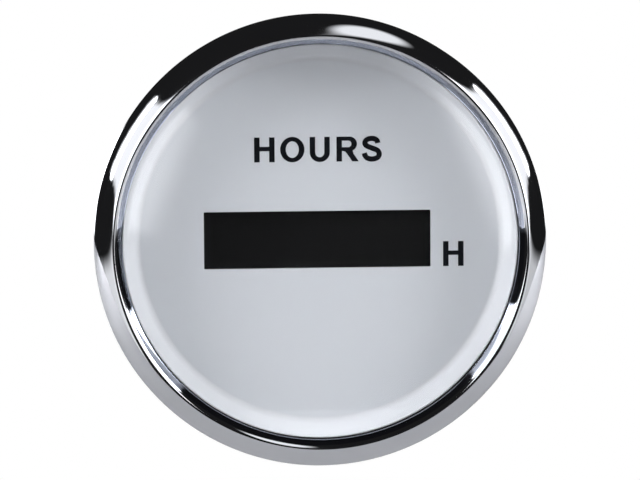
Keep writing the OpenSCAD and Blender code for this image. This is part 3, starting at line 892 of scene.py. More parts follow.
def thread_tree() -> Graph:
    """Makes the tree of a screw thread: a rod whose radius follows the height and the turn.

    Returns:
        The tree.
    """
    graph, start, end = node_tree("screw_thread", {
        "Radius": "NodeSocketFloat", "Depth": "NodeSocketFloat", "Pitch": "NodeSocketFloat",
        "Length": "NodeSocketFloat", "Tip": "NodeSocketFloat", "Steps": "NodeSocketInt",
        "Rows": "NodeSocketInt", "Centre": "NodeSocketVector", "Finish": "NodeSocketMaterial"})
    size = start.outputs
    rod = graph.add("GeometryNodeMeshCylinder")
    sizes = {"Vertices": "Steps", "Side Segments": "Rows", "Radius": "Radius", "Depth": "Length"}
    for label, source in sizes.items():
        graph.feed(rod.inputs[label], size[source])
    spot = graph.add("ShaderNodeSeparateXYZ")
    graph.feed(spot.inputs[0], graph.add("GeometryNodeInputPosition").outputs[0])
    x, y, z = spot.outputs
    turn = graph.math("DIVIDE", graph.math("ARCTAN2", y, x), 2 * math.pi)
    phase = graph.math("FRACT", graph.math("SUBTRACT", graph.math("DIVIDE", z, size["Pitch"]), turn))
    flank = graph.math("MULTIPLY", graph.math("PINGPONG", phase, 0.5), 2.0)
    valley = graph.add("ShaderNodeMapRange")
    slope = {"Value": flank, "From Min": 0.12, "From Max": 0.9, "To Min": size["Depth"], "To Max": 0.0}
    for label, source in slope.items():
        graph.feed(valley.inputs[label], source)
    cut = graph.math("SUBTRACT", size["Radius"], valley.outputs[0])
    to_tip = graph.math("SUBTRACT", graph.math("DIVIDE", size["Length"], 2.0), z)
    taper = graph.math("MAXIMUM", graph.math("SUBTRACT", size["Tip"], to_tip), 0.0)
    reach = graph.math("MINIMUM", cut, graph.math("SUBTRACT", size["Radius"], taper))
    share = graph.math("DIVIDE", reach, size["Radius"])
    moved = graph.add("ShaderNodeCombineXYZ")
    graph.feed(moved.inputs["X"], graph.math("MULTIPLY", x, share))
    graph.feed(moved.inputs["Y"], graph.math("MULTIPLY", y, share))
    graph.feed(moved.inputs["Z"], z)
    shaped = graph.add("GeometryNodeSetPosition")
    graph.feed(shaped.inputs["Geometry"], rod.outputs["Mesh"])
    graph.feed(shaped.inputs["Position"], moved.outputs[0])
    laid = graph.add("GeometryNodeTransform")
    graph.feed(laid.inputs["Geometry"], shaped.outputs["Geometry"])
    graph.feed(laid.inputs["Translation"], size["Centre"])
    laid.inputs["Rotation"].default_value = (-math.pi / 2, 0.0, 0.0)
    close_tree(graph, start, end, laid.outputs["Geometry"])
    return graph


def knurl_tree() -> Graph:
    """Makes the tree that presses straight ridges into the rim of a turned blank.

    Returns:
        The tree.
    """
    graph, start, end = node_tree("rim_knurl", {
        "Geometry": "NodeSocketGeometry", "Ridges": "NodeSocketInt", "Depth": "NodeSocketFloat",
        "Rim Radius": "NodeSocketFloat", "Axis X": "NodeSocketFloat", "Finish": "NodeSocketMaterial"})
    size = start.outputs
    spot = graph.add("ShaderNodeSeparateXYZ")
    graph.feed(spot.inputs[0], graph.add("GeometryNodeInputPosition").outputs[0])
    across = graph.math("SUBTRACT", spot.outputs["X"], size["Axis X"])
    squared = graph.math("ADD", graph.math("MULTIPLY", across, across),
                         graph.math("MULTIPLY", spot.outputs["Z"], spot.outputs["Z"]))
    radius = graph.math("SQRT", squared)
    turn = graph.math("DIVIDE", graph.math("ARCTAN2", spot.outputs["Z"], across), 2 * math.pi)
    ridge = graph.math("PINGPONG", graph.math("MULTIPLY", turn, size["Ridges"]), 0.5)
    groove = graph.math("MULTIPLY", ridge, 2.0)
    fade_depths = 2.2
    inner = graph.math("SUBTRACT", size["Rim Radius"], graph.math("MULTIPLY", size["Depth"], fade_depths))
    rim = graph.ramp(radius, inner, size["Rim Radius"])
    pressed = graph.math("MULTIPLY", graph.math("MULTIPLY", groove, rim), size["Depth"])
    share = graph.math("DIVIDE", graph.math("SUBTRACT", radius, pressed), radius)
    moved = graph.add("ShaderNodeCombineXYZ")
    graph.feed(moved.inputs["X"], graph.math("ADD", graph.math("MULTIPLY", across, share), size["Axis X"]))
    graph.feed(moved.inputs["Y"], spot.outputs["Y"])
    graph.feed(moved.inputs["Z"], graph.math("MULTIPLY", spot.outputs["Z"], share))
    shaped = graph.add("GeometryNodeSetPosition")
    graph.feed(shaped.inputs["Geometry"], size["Geometry"])
    graph.feed(shaped.inputs["Position"], moved.outputs[0])
    close_tree(graph, start, end, shaped.outputs["Geometry"])
    return graph


# Letters, in a square of one cap height with the baseline at 0


@unique
class Letter(Enum):
    """Capital letters of the dial, with the width of each as a share of its height."""

    H = 0.82
    O = 0.977
    U = 0.806
    R = 0.885
    S = 0.815

    def loops(self) -> list[Loop]:
        """Gives the letter's outline, followed by its holes."""
        return {"H": self._h, "O": self._o, "U": self._u, "R": self._r, "S": self._s}[self.name]()

    def _h(self) -> list[Loop]:
        """Gives two stems and a bar.

        Returns:
            The outline, followed by its holes.
        """
        wide, stem, low, high = self.value, 0.22, 0.446, 0.622
        return [[(0, 0), (stem, 0), (stem, low), (wide - stem, low), (wide - stem, 0), (wide, 0), (wide, 1),
                 (wide - stem, 1), (wide - stem, high), (stem, high), (stem, 1), (0, 1)]]

    def _o(self) -> list[Loop]:
        """Gives an oval ring that overshoots the line a little."""
        middle = (self.value / 2, 0.5)
        return [arc(middle, (self.value / 2, 0.512), 0, 350, 35), arc(middle, (0.262, 0.332), 0, 350, 35)]

    def _u(self) -> list[Loop]:
        """Gives two stems joined by a round bottom.

        Returns:
            The outline, followed by its holes.
        """
        wide, stem, spring = self.value, 0.22, 0.38
        middle = (wide / 2, spring)
        outer = arc(middle, (wide / 2, spring + 0.012), 180, 360, 20)
        inner = arc(middle, (wide / 2 - stem, spring - 0.182), 0, -180, 20)
        return [[(0, 1), *outer, (wide, 1), (wide - stem, 1), *inner, (stem, 1)]]

    def _r(self) -> list[Loop]:
        """Gives a stem, a bowl with its hole and a leg.

        Returns:
            The outline, followed by its holes.
        """
        stem, top_bowl, eye = 0.22, (0.53, 0.706), (0.475, 0.705)
        bowl = arc(top_bowl, (0.294, 0.294), -66, 90, 18)
        hole = arc(eye, (0.125, 0.132), -90, 90, 14)
        leg = [(0.27, 0.42), (0.35, 0.395), (0.42, 0.315), (0.632, 0), (self.value + 0.012, 0),
               (0.68, 0.315)]
        outline = [(0, 0), (stem, 0), (stem, 0.42), *leg, *bowl, (0, 1)]
        return [outline, [(stem, 0.573), *hole, (stem, 0.837)]]

    def _s(self) -> list[Loop]:
        """Gives one stroke that winds from the upper right to the lower left.

        Returns:
            The outline, followed by its holes.
        """
        knots = [(0.642, 0.728), (0.62, 0.812), (0.54, 0.887), (0.395, 0.914), (0.225, 0.878),
                 (0.128, 0.765), (0.175, 0.635), (0.4, 0.53), (0.615, 0.44), (0.698, 0.29),
                 (0.622, 0.142), (0.41, 0.086), (0.225, 0.128), (0.132, 0.225), (0.098, 0.33)]
        stroke = 0.212
        return [ribbon(smooth_line(knots), stroke)]


# Sub-assemblies


@dataclass
class Bezel:
    """Chromed sheet, spun over the flange of the cup and turned in to hold the lens.

    Attributes:
        radius: Outer radius.
        height: Height of the crest above the panel.
        roll: Radius of the rolled shoulder.
        sheet: Thickness of the sheet.
        lip_angle: Steepness of the inner lip, in degrees.
        lens_face: Height of the lens rim under the lip.
        back: Height of the hem's back face.
        bend: Radius of the bend at the back edge.
        hem: Width of the hem.
        hem_edge: Radius of the rounded edges of the hem.
        lip_edge: Radius of the rounded edge of the lip.
        segments: Steps round the axis.
    """

    radius: float = 31.0
    height: float = 8.8
    roll: float = 2.7
    sheet: float = 0.6
    lip_angle: float = 45.0
    lens_face: float = 7.8
    back: float = 0.6
    bend: float = 1.0
    hem: float = 1.6
    hem_edge: float = 0.2
    lip_edge: float = 0.04
    segments: int = 384

    def profile(self) -> Loop:
        """Gives the closed half section of the sheet, from the lip's edge over the crest and back.

        Returns:
            The half section, in radius and z.
        """
        crest = self.radius - self.roll
        shoulder, fold = self.height - self.roll, self.height - self.sheet
        slope = math.radians(self.lip_angle)
        run = 1 / math.tan(slope)
        start = (crest - self.sheet * math.sin(slope), fold + self.sheet * math.cos(slope))
        mouth = start[0] - (start[1] - self.lens_face) * run
        inside = crest - (fold - self.lens_face) * run
        bend_at = (self.radius - self.bend, self.back + self.bend)
        inner_bend = self.bend - self.sheet
        hem_end, hem_top = bend_at[0] - self.hem, self.back + self.sheet
        lip = rounded([start, (mouth, self.lens_face, self.lip_edge), (inside, self.lens_face)])[1:-1]
        return [
            *lip,
            *arc((crest, fold), (self.sheet, self.sheet), 90 + self.lip_angle, 90, 14),
            *arc((crest, shoulder), (self.roll, self.roll), 90, 0, 40)[1:],
            *arc(bend_at, (self.bend, self.bend), 0, -90, 12),
            *rounded([(hem_end + 1, self.back), (hem_end, self.back, self.hem_edge),
                      (hem_end, hem_top, self.hem_edge), (hem_end + 1, hem_top)])[1:-1],
            *arc(bend_at, (inner_bend, inner_bend), -90, 0, 8),
            *arc((crest, shoulder), (self.roll - self.sheet, self.roll - self.sheet), 0, 90, 16),
            (inside, self.lens_face),
        ]

    def build(self) -> None:
        """Builds the bezel and dresses it in chrome."""
        bm = bmesh.new()
        spin(bm, self.profile(), self.segments)
        place(finished(bm, "bezel_chrome"), "bezel_chrome", Body.METER, CHROME, ["bezel"])


@dataclass
class Lens:
    """Domed clear lens on a rubber gasket.

    Attributes:
        radius: Radius of the flat rim.
        foot: Radius at which the dome begins.
        rim_back: Height of the rim's back face.
        thickness: Thickness of the lens.
        rise: Rise of the dome.
        edge: Radius of the polished rim edges.
        segments: Steps round the axis.
    """

    radius: float = 28.752
    foot: float = 26.902
    rim_back: float = 5.8
    thickness: float = 2.0
    rise: float = 0.8
    edge: float = 0.15
    segments: int = 256

    def dome(self, rim: float) -> Loop:
        """Gives the dome's arc from its top to its foot, for a rim at this height.

        Args:
            rim: Height of the rim.

        Returns:
            The arc, in radius and z.
        """
        sphere = (self.foot**2 + self.rise**2) / (2 * self.rise)
        spread = math.degrees(math.asin(self.foot / sphere))
        return arc((0, rim + self.rise - sphere), (sphere, sphere), 90, 90 - spread, 28)

    def build(self) -> None:
        """Builds the lens and dresses its gasket."""
        rim_front = self.rim_back + self.thickness
        top, under = self.dome(rim_front), self.dome(self.rim_back)
        rim = rounded([top[-1], (self.radius, rim_front, self.edge), (self.radius, self.rim_back, self.edge),
                       under[-1]])[1:-1]
        bm = bmesh.new()
        spin(bm, [(0.0, top[0][1]), *top[1:], *rim, *under[:0:-1], (0.0, under[0][1])], self.segments)
        place(finished(bm, "lens_clear"), "lens_clear", Body.METER, LENS_GLASS, ["lens"])
        dress("lens_gasket", RUBBER)


@dataclass
class Dial:
    """Painted dial with its display window and printed letters, in a white sloping ring.

    Attributes:
        radius: Radius of the plate.
        back: Height of the plate's back face.
        front: Height of the plate's front face.
        window: Width and height of the display window.
        window_x: Sideways offset of the window.
        window_corner: Radius of the window's corners.
        peg_hole: Radius of the two locating holes and their distance from the middle.
        ring_foot: Radius of the ring at the dial.
        ring_mouth: Radius of the ring under the lens.
        ring_radius: Outer radius of the ring.
        ring_top: Height of the ring's upper edge.
        ring_edge: Radius of the ring's upper edge.
        ring_dish: Radius of the hollow at the ring's foot.
        print_height: Thickness of the printed ink.
        print_sink: How far the ink is set into the paint.
        word_cap: Height of the word's letters.
        word_at: Middle of the word.
        word_gaps: Gaps between the word's letters, as shares of their height.
        unit_cap: Height of the unit letter.
        unit_at: Middle of the unit letter.
        edge: Width of the plate's rounded edges.
        segments: Steps round the axis.
    """

    radius: float = 26.952
    back: float = 2.4
    front: float = 3.0
    window: Point = (31.2, 7.9)
    window_x: float = -0.3
    window_corner: float = 0.15
    peg_hole: Point = (0.7, 25.752)
    ring_foot: float = 24.952
    ring_mouth: float = 26.902
    ring_radius: float = 27.052
    ring_top: float = 5.8
    ring_edge: float = 0.12
    ring_dish: float = 1.1
    print_height: float = 0.03
    print_sink: float = 0.005
    word_cap: float = 3.42
    word_at: Point = (-0.12, 12.45)
    word_gaps: tuple[float, ...] = (0.22, 0.21, 0.268, 0.133)
    unit_cap: float = 3.45
    unit_at: Point = (18.41, -2.15)
    edge: float = 0.06
    segments: int = 256

    def build_plate(self) -> None:
        """Builds the plate with its window and dresses it in paint."""
        wide, high = self.window[0] / 2, self.window[1] / 2
        left, right = self.window_x - wide, self.window_x + wide
        corners = ((left, -high), (right, -high), (right, high), (left, high))
        window = rounded([(*corner, self.window_corner) for corner in corners], 4)
        outline = arc((0, 0), (self.radius, self.radius), 0, 360 - 360 / self.segments, self.segments - 1)
        hole, reach = self.peg_hole
        pegs = [arc((side.value * reach, 0), (hole, hole), 0, 345, 23) for side in Side]
        bm = bmesh.new()
        prism(bm, [outline, window, *pegs], self.back, self.front)
        mesh = eased(finished(bm, "dial_face"), self.edge)
        place(mesh, "dial_face", Body.METER, DIAL_PAINT, ["dial_plate"])

    def build_ring(self) -> None:
        """Builds the sloping ring, dished where it meets the dial."""
        profile = rounded([
            (self.ring_radius, self.front), (self.ring_radius, self.ring_top),
            (self.ring_mouth, self.ring_top, self.ring_edge),
            (self.ring_foot + 0.25, self.front + 0.04, self.ring_dish),
            (self.ring_foot - 0.2, self.front + 0.02), (self.ring_foot - 0.2, self.front)], 10)
        bm = bmesh.new()
        spin(bm, profile, self.segments)
        place(finished(bm, "dial_ring_white"), "dial_ring_white", Body.METER, RING_PLASTIC,
              ["dial_ring"])

    def print_letters(self, bm: bmesh.types.BMesh, letters: Sequence[Letter], cap: float, middle: Point,
                      gaps: Sequence[float] = ()) -> None:
        """Prints a row of letters on the dial.

        Args:
            bm: The bmesh that takes the letters.
            letters: The letters in order.
            cap: Their height.
            middle: Middle of the row.
            gaps: Gaps between them, as shares of their height.
        """
        width = sum(letter.value for letter in letters) + sum(gaps)
        cursor = middle[0] - cap * width / 2
        for letter, gap in zip(letters, (*gaps, 0.0)):
            loops = [[(cursor + cap * x, middle[1] + cap * (y - 0.5)) for x, y in loop]
                     for loop in letter.loops()]
            prism(bm, loops, self.front - self.print_sink, self.front + self.print_height)
            cursor += cap * (letter.value + gap)

    def build(self) -> None:
        """Builds the plate, the ring and the printed letters."""
        self.build_plate()
        self.build_ring()
        bm = bmesh.new()
        word = [Letter.H, Letter.O, Letter.U, Letter.R, Letter.S]
        self.print_letters(bm, word, self.word_cap, self.word_at, self.word_gaps)
        self.print_letters(bm, [Letter.H], self.unit_cap, self.unit_at)
        place(finished(bm, "dial_letters"), "dial_letters", Body.METER, DIAL_INK)


@dataclass
class Works:
    """The display and the board inside the sealed cup, which keep their own shapes.

    Attributes:
        finishes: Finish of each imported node.
    """

    finishes: dict[str, Finish] = field(default_factory=lambda: {
        "light_guide": GUIDE_PLASTIC, "lcd_front_glass": DISPLAY_BLACK, "lcd_rear_glass": DISPLAY_GLASS,
        "display_frame": WHITE_PLASTIC, "contact_strip_upper": CONTACT_RUBBER,
        "contact_strip_lower": CONTACT_RUBBER, "display_glow_block": MILK_PLASTIC,
        "display_leds": LAMP_PACKAGE, "dial_leds": LAMP_PACKAGE, "circuit_board": SOLDER_MASK,
        "board_screws": ZINC, "microcontroller": CHIP_EPOXY, "memory_chip": CHIP_EPOXY,
        "quartz_crystal": DRAWN_CAN,
        "voltage_regulator": CHIP_EPOXY, "smoothing_capacitor": DRAWN_CAN, "protection_diode": CHIP_EPOXY,
        "surge_suppressor": CHIP_EPOXY, "resistors": RESISTOR_GLAZE, "filter_capacitors": CAPACITOR_CLAY})

    def build(self) -> None:
        """Dresses every inner piece."""
        for node, finish in self.finishes.items():
            dress(node, finish)


@dataclass
class Cup:
    """Moulded cup with its panel gasket, blade terminals and raised signs on the back.

    Attributes:
        back: Height of the back face.
        edge: Radius of the moulding's outer edges.
        edge_band: Height of the band at the back whose edges are rounded.
        gasket: Inner and outer radius of the panel gasket.
        gasket_height: Thickness of the panel gasket.
        gasket_edges: Radius of the gasket's edges at the panel and at the bezel.
        blades: Names of the terminal nodes and the place of each in x.
        sign_y: Height of the signs on the back face.
        sign_size: Width of a sign.
        sign_stroke: Width of its strokes.
        sign_rise: How far it stands out of the back face.
        sign_sink: How far it is set into the back face.
        sign_edge: Width of a sign's rounded edges.
        blade_edge: Width of a blade's rounded edges.
    """

    back: float = -24.0
    edge: float = 0.22
    edge_band: float = 1.1
    gasket: Point = (26.7, 28.3)
    gasket_height: float = 1.2
    gasket_edges: Point = (0.25, 0.1)
    blades: dict[str, float] = field(
        default_factory=lambda: {"terminal_positive": -9.0, "terminal_negative": 0.0, "terminal_lamp": 9.0})
    sign_y: float = -15.4
    sign_size: float = 2.6
    sign_stroke: float = 0.5
    sign_rise: float = 0.25
    sign_sink: float = 0.05
    sign_edge: float = 0.06
    blade_edge: float = 0.1

    def build_cup(self) -> None:
        """Builds the cup with rounded outer edges at its back."""
        bm = cad_copy("cup")
        weights = bm.edges.layers.float.new("bevel_weight_edge")
        limit = (-self.back - self.edge_band) * MM
        for edge in bm.edges:
            outside = all(v.co.y > limit for v in edge.verts)
            if outside and len(edge.link_faces) == 2 and edge.calc_face_angle() > math.radians(30):
                edge[weights] = 1.0
        mesh = eased(finished(bm, "cup_moulding"), self.edge, by_weight=True)
        place(mesh, "cup_moulding", Body.METER, CUP_PLASTIC, ["cup"])

    def build_gasket(self) -> None:
        """Builds the panel gasket with soft edges."""
        inner, outer = self.gasket
        low, high = self.gasket_edges
        bm = bmesh.new()
        spin(bm, rounded([(inner, 0, low), (outer, 0, low), (outer, self.gasket_height, high),
                          (inner, self.gasket_height, high)]), 256)
        place(finished(bm, "panel_gasket_rubber"), "panel_gasket_rubber", Body.METER, RUBBER,
              ["panel_gasket"])

    def build_signs(self) -> None:
        """Builds the raised plus, minus and lamp signs below the blades."""
        plus, minus, lamp = self.blades.values()
        half, stroke = self.sign_size / 2, self.sign_stroke / 2
        low, high = self.back - self.sign_rise, self.back + self.sign_sink
        bar = [(-half, -stroke), (half, -stroke), (half, stroke), (-half, stroke)]
        cross = [(-half, -stroke), (-stroke, -stroke), (-stroke, -half), (stroke, -half), (stroke, -stroke),
                 (half, -stroke), (half, stroke), (stroke, stroke), (stroke, half), (-stroke, half),
                 (-stroke, stroke), (-half, stroke)]
        turned = [((x - y) * math.sqrt(0.5), (x + y) * math.sqrt(0.5)) for x, y in cross]
        rim = [arc((0, 0), (radius, radius), 0, 350, 35) for radius in (half + stroke, half)]
        bm = bmesh.new()
        for x, loops in ((plus, [cross]), (minus, [bar]), (lamp, rim), (lamp, [turned])):
            prism(bm, [[(x + a, self.sign_y + b) for a, b in loop] for loop in loops], low, high)
        mesh = eased(finished(bm, "cup_signs"), self.sign_edge)
        place(mesh, "cup_signs", Body.METER, CUP_PLASTIC)

    def build(self) -> None:
        """Builds the cup, the gasket, the signs and the blades."""
        self.build_cup()
        self.build_gasket()
        self.build_signs()
        for node in self.blades:
            mesh = eased(finished(cad_copy(node), node + "_blade"), self.blade_edge)
            place(mesh, node + "_blade", Body.METER, TINNED_BRASS, [node])


@dataclass
class Clamp:
    """Studs, clamp strap, lock washers and thumb nuts that hold the meter in its panel.

    Attributes:
        stud_x: Distance of each stud from the middle.
        stud_radius: Outer radius of the thread.
        thread_depth: Depth of the thread.
        pitch: Pitch of the thread.
        thread_steps: Steps round the thread.
        thread_rows: Rows of points in each pitch.
        stud_start: Height at which the thread begins, inside the cup's wall.
        stud_end: Height of the stud's tip.
        stud_tip: Chamfer of the tip.
        head_back: Height of the hexagon head's lower face.
        head_height: Height of the hexagon head.
        head_width: Width of the head across its flats.
        nut_radius: Radius of the knurled head.
        nut_back: Height of the knurled head's outer face.
        nut_head: Height of the knurled head.
        hub_radius: Radius of the nut's hub.
        hub_height: Height of the hub.
        bore: Radius of the nut's bore.
        bore_ease: Width of the eased edges of the bore and the knurled head.
        rim_land: Width of the chamfer round the knurled head.
        hub_ease: Width of the eased edges of the hub.
        ridges: Number of knurl ridges.
        knurl_depth: Depth of the knurl.
        strap_edge: Width of the strap's rounded edges.
        washer_edge: Width of the washers' rounded edges.
    """

    stud_x: float = 14.0
    stud_radius: float = 2.0
    thread_depth: float = 0.36
    pitch: float = 0.7
    thread_steps: int = 48
    thread_rows: int = 12
    stud_start: float = -21.7
    stud_end: float = -47.0
    stud_tip: float = 0.5
    head_back: float = -22.2
    head_height: float = 3.0
    head_width: float = 7.0
    nut_radius: float = 5.0
    nut_back: float = -38.6
    nut_head: float = 4.2
    hub_radius: float = 3.6
    hub_height: float = 1.8
    bore: float = 2.05
    bore_ease: float = 0.25
    rim_land: float = 0.6
    hub_ease: float = 0.3
    ridges: int = 36
    knurl_depth: float = 0.35
    strap_edge: float = 0.16
    washer_edge: float = 0.1

    def build_stud(self, side: Side, tree: Graph) -> None:
        """Builds one threaded stud with its hexagon head.

        Args:
            side: Left or right.
            tree: The tree of the thread.
        """
        name = f"stud_{side.name.lower()}"
        length = self.stud_start - self.stud_end
        middle = seat(side.value * self.stud_x, 0, (self.stud_start + self.stud_end) / 2)
        thread = grown(name + "_thread", tree, {
            "Radius": self.stud_radius * MM, "Depth": self.thread_depth * MM, "Pitch": self.pitch * MM,
            "Length": length * MM, "Tip": self.stud_tip * MM, "Steps": self.thread_steps,
            "Rows": round(length / self.pitch * self.thread_rows), "Centre": tuple(middle),
            "Finish": STUD_ZINC.material()})
        bm = bmesh.new()
        bm.from_mesh(thread)
        corner = self.head_width / 2 / math.cos(math.radians(30))
        hexagon = arc((side.value * self.stud_x, 0), (corner, corner), 0, 300, 5)
        prism(bm, [hexagon], self.head_back, self.head_back + self.head_height)
        mesh = finished(bm, name + "_thread", 50)
        place(mesh, name + "_thread", Body.METER, STUD_ZINC, [name])

    def build_nut(self, side: Side, tree: Graph) -> None:
        """Builds one knurled thumb nut from a turned blank.

        Args:
            side: Left or right.
            tree: The tree of the knurl.
        """
        name = f"thumb_nut_{side.name.lower()}"
        finish = NUT_LEFT_NICKEL if side is Side.LEFT else NUT_RIGHT_NICKEL
        body = Body.NUT_LEFT if side is Side.LEFT else Body.NUT_RIGHT
        under = self.nut_back + self.nut_head
        top = under + self.hub_height
        back, rim, hub = self.nut_back, self.nut_radius, self.hub_radius
        ease, land, hub_ease = self.bore_ease, self.rim_land, self.hub_ease
        rows = [(rim, back + 0.5 + (self.nut_head - 1.0) * i / 6) for i in range(7)]
        mouth = [(self.bore, back + 1), (self.bore, back, ease), (rim - 1.3, back), (rim - 1.3, back)]
        profile = [
            *rounded(mouth, 4)[1:-2],
            (rim - 2 * land, back), (rim - land, back), (rim - ease, back + 0.2), *rows,
            (rim - ease, under - 0.2), (rim - land, under),
            (hub + hub_ease, under), (hub, under + hub_ease), (hub, top - hub_ease), (hub - hub_ease, top),
            (self.bore + ease, top), (self.bore, top - ease)]
        bm = bmesh.new()
        spin(bm, profile, self.ridges * 8, (side.value * self.stud_x, 0))
        mesh = grown(name + "_knurled", tree, {
            "Ridges": self.ridges, "Depth": self.knurl_depth * MM, "Rim Radius": rim * MM,
            "Axis X": side.value * self.stud_x * MM, "Finish": finish.material(),
        }, finished(bm, name + "_knurled"))
        mesh.set_sharp_from_angle(angle=math.radians(32))
        place(mesh, name + "_knurled", body, None, [name])

    def build(self) -> None:
        """Builds the studs, the strap, the washers and the nuts."""
        thread, knurl = thread_tree(), knurl_tree()
        for side in Side:
            self.build_stud(side, thread)
            self.build_nut(side, knurl)
        strap = eased(finished(cad_copy("clamp_bracket"), "clamp_strap"), self.strap_edge)
        place(strap, "clamp_strap", Body.CLAMP, ZINC, ["clamp_bracket"])
        washers = eased(finished(cad_copy("lock_washers"), "lock_washer_pair"), self.washer_edge)
        place(washers, "lock_washer_pair", Body.CLAMP, SPRING_STEEL, ["lock_washers"])


# Studio


class Cloth(Enum):
    """Outlines of a lit panel."""

    PANEL = "panel"
    OVAL = "oval"


@dataclass(frozen=True)
class Softbox:
    """A softly edged lit panel round the meter, placed as its polished bezel sees it.

    Each corner is given in degrees to the right and degrees up from the meter's axis, with its distance
    from the axis as the angle between them.

    Attributes:
        name: Name of the panel.
        near: Lower and upper corner of the edge next to the axis.
        far: Lower and upper corner of the edge away from the axis.
        levels: Radiance at the near edge, in the middle, in the far part and at the far edge.
        feather: Share over which it fades at the near edge, the far edge and the two sides.
        ragged: How unevenly it fades.
        outline: Shape of the lit cloth.
        behind: Whether it hangs behind the meter.
        mirrored: Whether polished metal shows it.
        reach: Distance from the meter, in metres.
        unlit: Radiance of the cloth round the lit outline.
        tint: Colour of its light.
        changes: Shares of its length between which one level turns into the next.
    """

    name: str
    near: tuple[Point, Point]
    far: tuple[Point, Point]
    levels: tuple[float, float, float, float]
    feather: tuple[float, float, float] = (0.02, 0.12, 0.12)
    ragged: float = 0.0
    outline: Cloth = Cloth.PANEL
    behind: bool = False
    mirrored: bool = True
    reach: float = 0.9
    unlit: float = 0.0105
    tint: Colour = (0.97, 0.98, 1.0)
    changes: tuple[Point, Point, Point] = ((0.08, 0.16), (0.585, 0.655), (0.78, 0.85))

    def mask(self, graph: Graph, across: bpy.types.NodeSocketVector) -> bpy.types.NodeSocket:
        """Gives the share of light at each spot of the cloth.

        Args:
            graph: The material.
            across: Place on the cloth.

        Returns:
            The share.
        """
        spot = graph.add("ShaderNodeSeparateXYZ")
        graph.feed(spot.inputs[0], across)
        torn = graph.math("MULTIPLY", graph.ramp(spot.outputs["X"], 0.1, 0.4), self.ragged)
        uneven = graph.math("MULTIPLY", graph.math("SUBTRACT", graph.noise(across, 12.0, 5.0), 0.5), torn)
        if self.outline is Cloth.PANEL:
            along, height = spot.outputs["X"], spot.outputs["Y"]
            edges = (along, graph.math("SUBTRACT", 1.0, along), graph.math("PINGPONG", height, 0.5))
            share = 1.0
            for edge, feather in zip(edges, self.feather):
                faded = graph.ramp(graph.math("ADD", edge, uneven), 0.0, feather)
                share = graph.math("MULTIPLY", faded, share)
            return share
        middle = graph.add("ShaderNodeVectorMath", operation="DISTANCE")
        graph.feed(middle.inputs[0], across)
        middle.inputs[1].default_value = (0.5, 0.5, 0.0)
        reach = graph.math("ADD", middle.outputs["Value"], uneven)
        return graph.ramp(reach, 0.5, 0.5 - self.feather[0])

    def material(self) -> bpy.types.Material:
        """Makes the glowing cloth, which fades towards its edges.

        Returns:
            The material.
        """
        material = bpy.data.materials.new(self.name)
        material.use_nodes = True
        graph = Graph(material.node_tree)
        across = graph.add("ShaderNodeTexCoord").outputs["UV"]
        spot = graph.add("ShaderNodeSeparateXYZ")
        graph.feed(spot.inputs[0], across)
        level = self.levels[0]
        for before, after, (start, end) in zip(self.levels, self.levels[1:], self.changes):
            step = graph.ramp(spot.outputs["X"], start, end, 0.0, after - before)
            level = graph.math("ADD", step, level)
        glow = graph.add("ShaderNodeEmission")
        glow.inputs["Color"].default_value = (*self.tint, 1.0)
        lit = graph.math("MULTIPLY", level, self.mask(graph, across))
        graph.feed(glow.inputs["Strength"], graph.math("MAXIMUM", lit, self.unlit))
        graph.feed(graph.add("ShaderNodeOutputMaterial").inputs["Surface"], glow.outputs[0])
        return material

    def spot(self, along: float, across: float) -> Vector:
        """Gives the place of one spot of the cloth, by its shares of the panel's length and height.

        Args:
            along: Share of the panel's length.
            across: Share of the panel's height.

        Returns:
            The place, in metres.
        """
        near = Vector(self.near[0]).lerp(Vector(self.near[1]), across)
        angles = near.lerp(Vector(self.far[0]).lerp(Vector(self.far[1]), across), along)
        polar, turn = math.radians(angles.length), math.atan2(angles.y, angles.x)
        depth = math.cos(polar) if self.behind else -math.cos(polar)
        aside = math.sin(polar)
        return Vector((aside * math.cos(turn), depth, aside * math.sin(turn))) * self.reach

    def build(self) -> None:
        """Hangs the panel round the meter, out of the camera's sight."""
        steps = 16
        row = steps + 1
        spots = [self.spot(i / steps, k / steps) for i in range(row) for k in range(row)]
        faces = [(i * row + k, i * row + k + 1, (i + 1) * row + k + 1, (i + 1) * row + k)
                 for i in range(steps) for k in range(steps)]
        mesh = bpy.data.meshes.new(self.name)
        mesh.from_pydata(spots, [], faces)
        weave = mesh.uv_layers.new(name="cloth")
        for corner in mesh.loops:
            along, across = divmod(corner.vertex_index, row)
            weave.uv[corner.index].vector = (along / steps, across / steps)
        mesh.materials.append(self.material())
        panel = held(mesh, self.name)
        panel.visible_camera = False
        panel.visible_glossy = self.mirrored


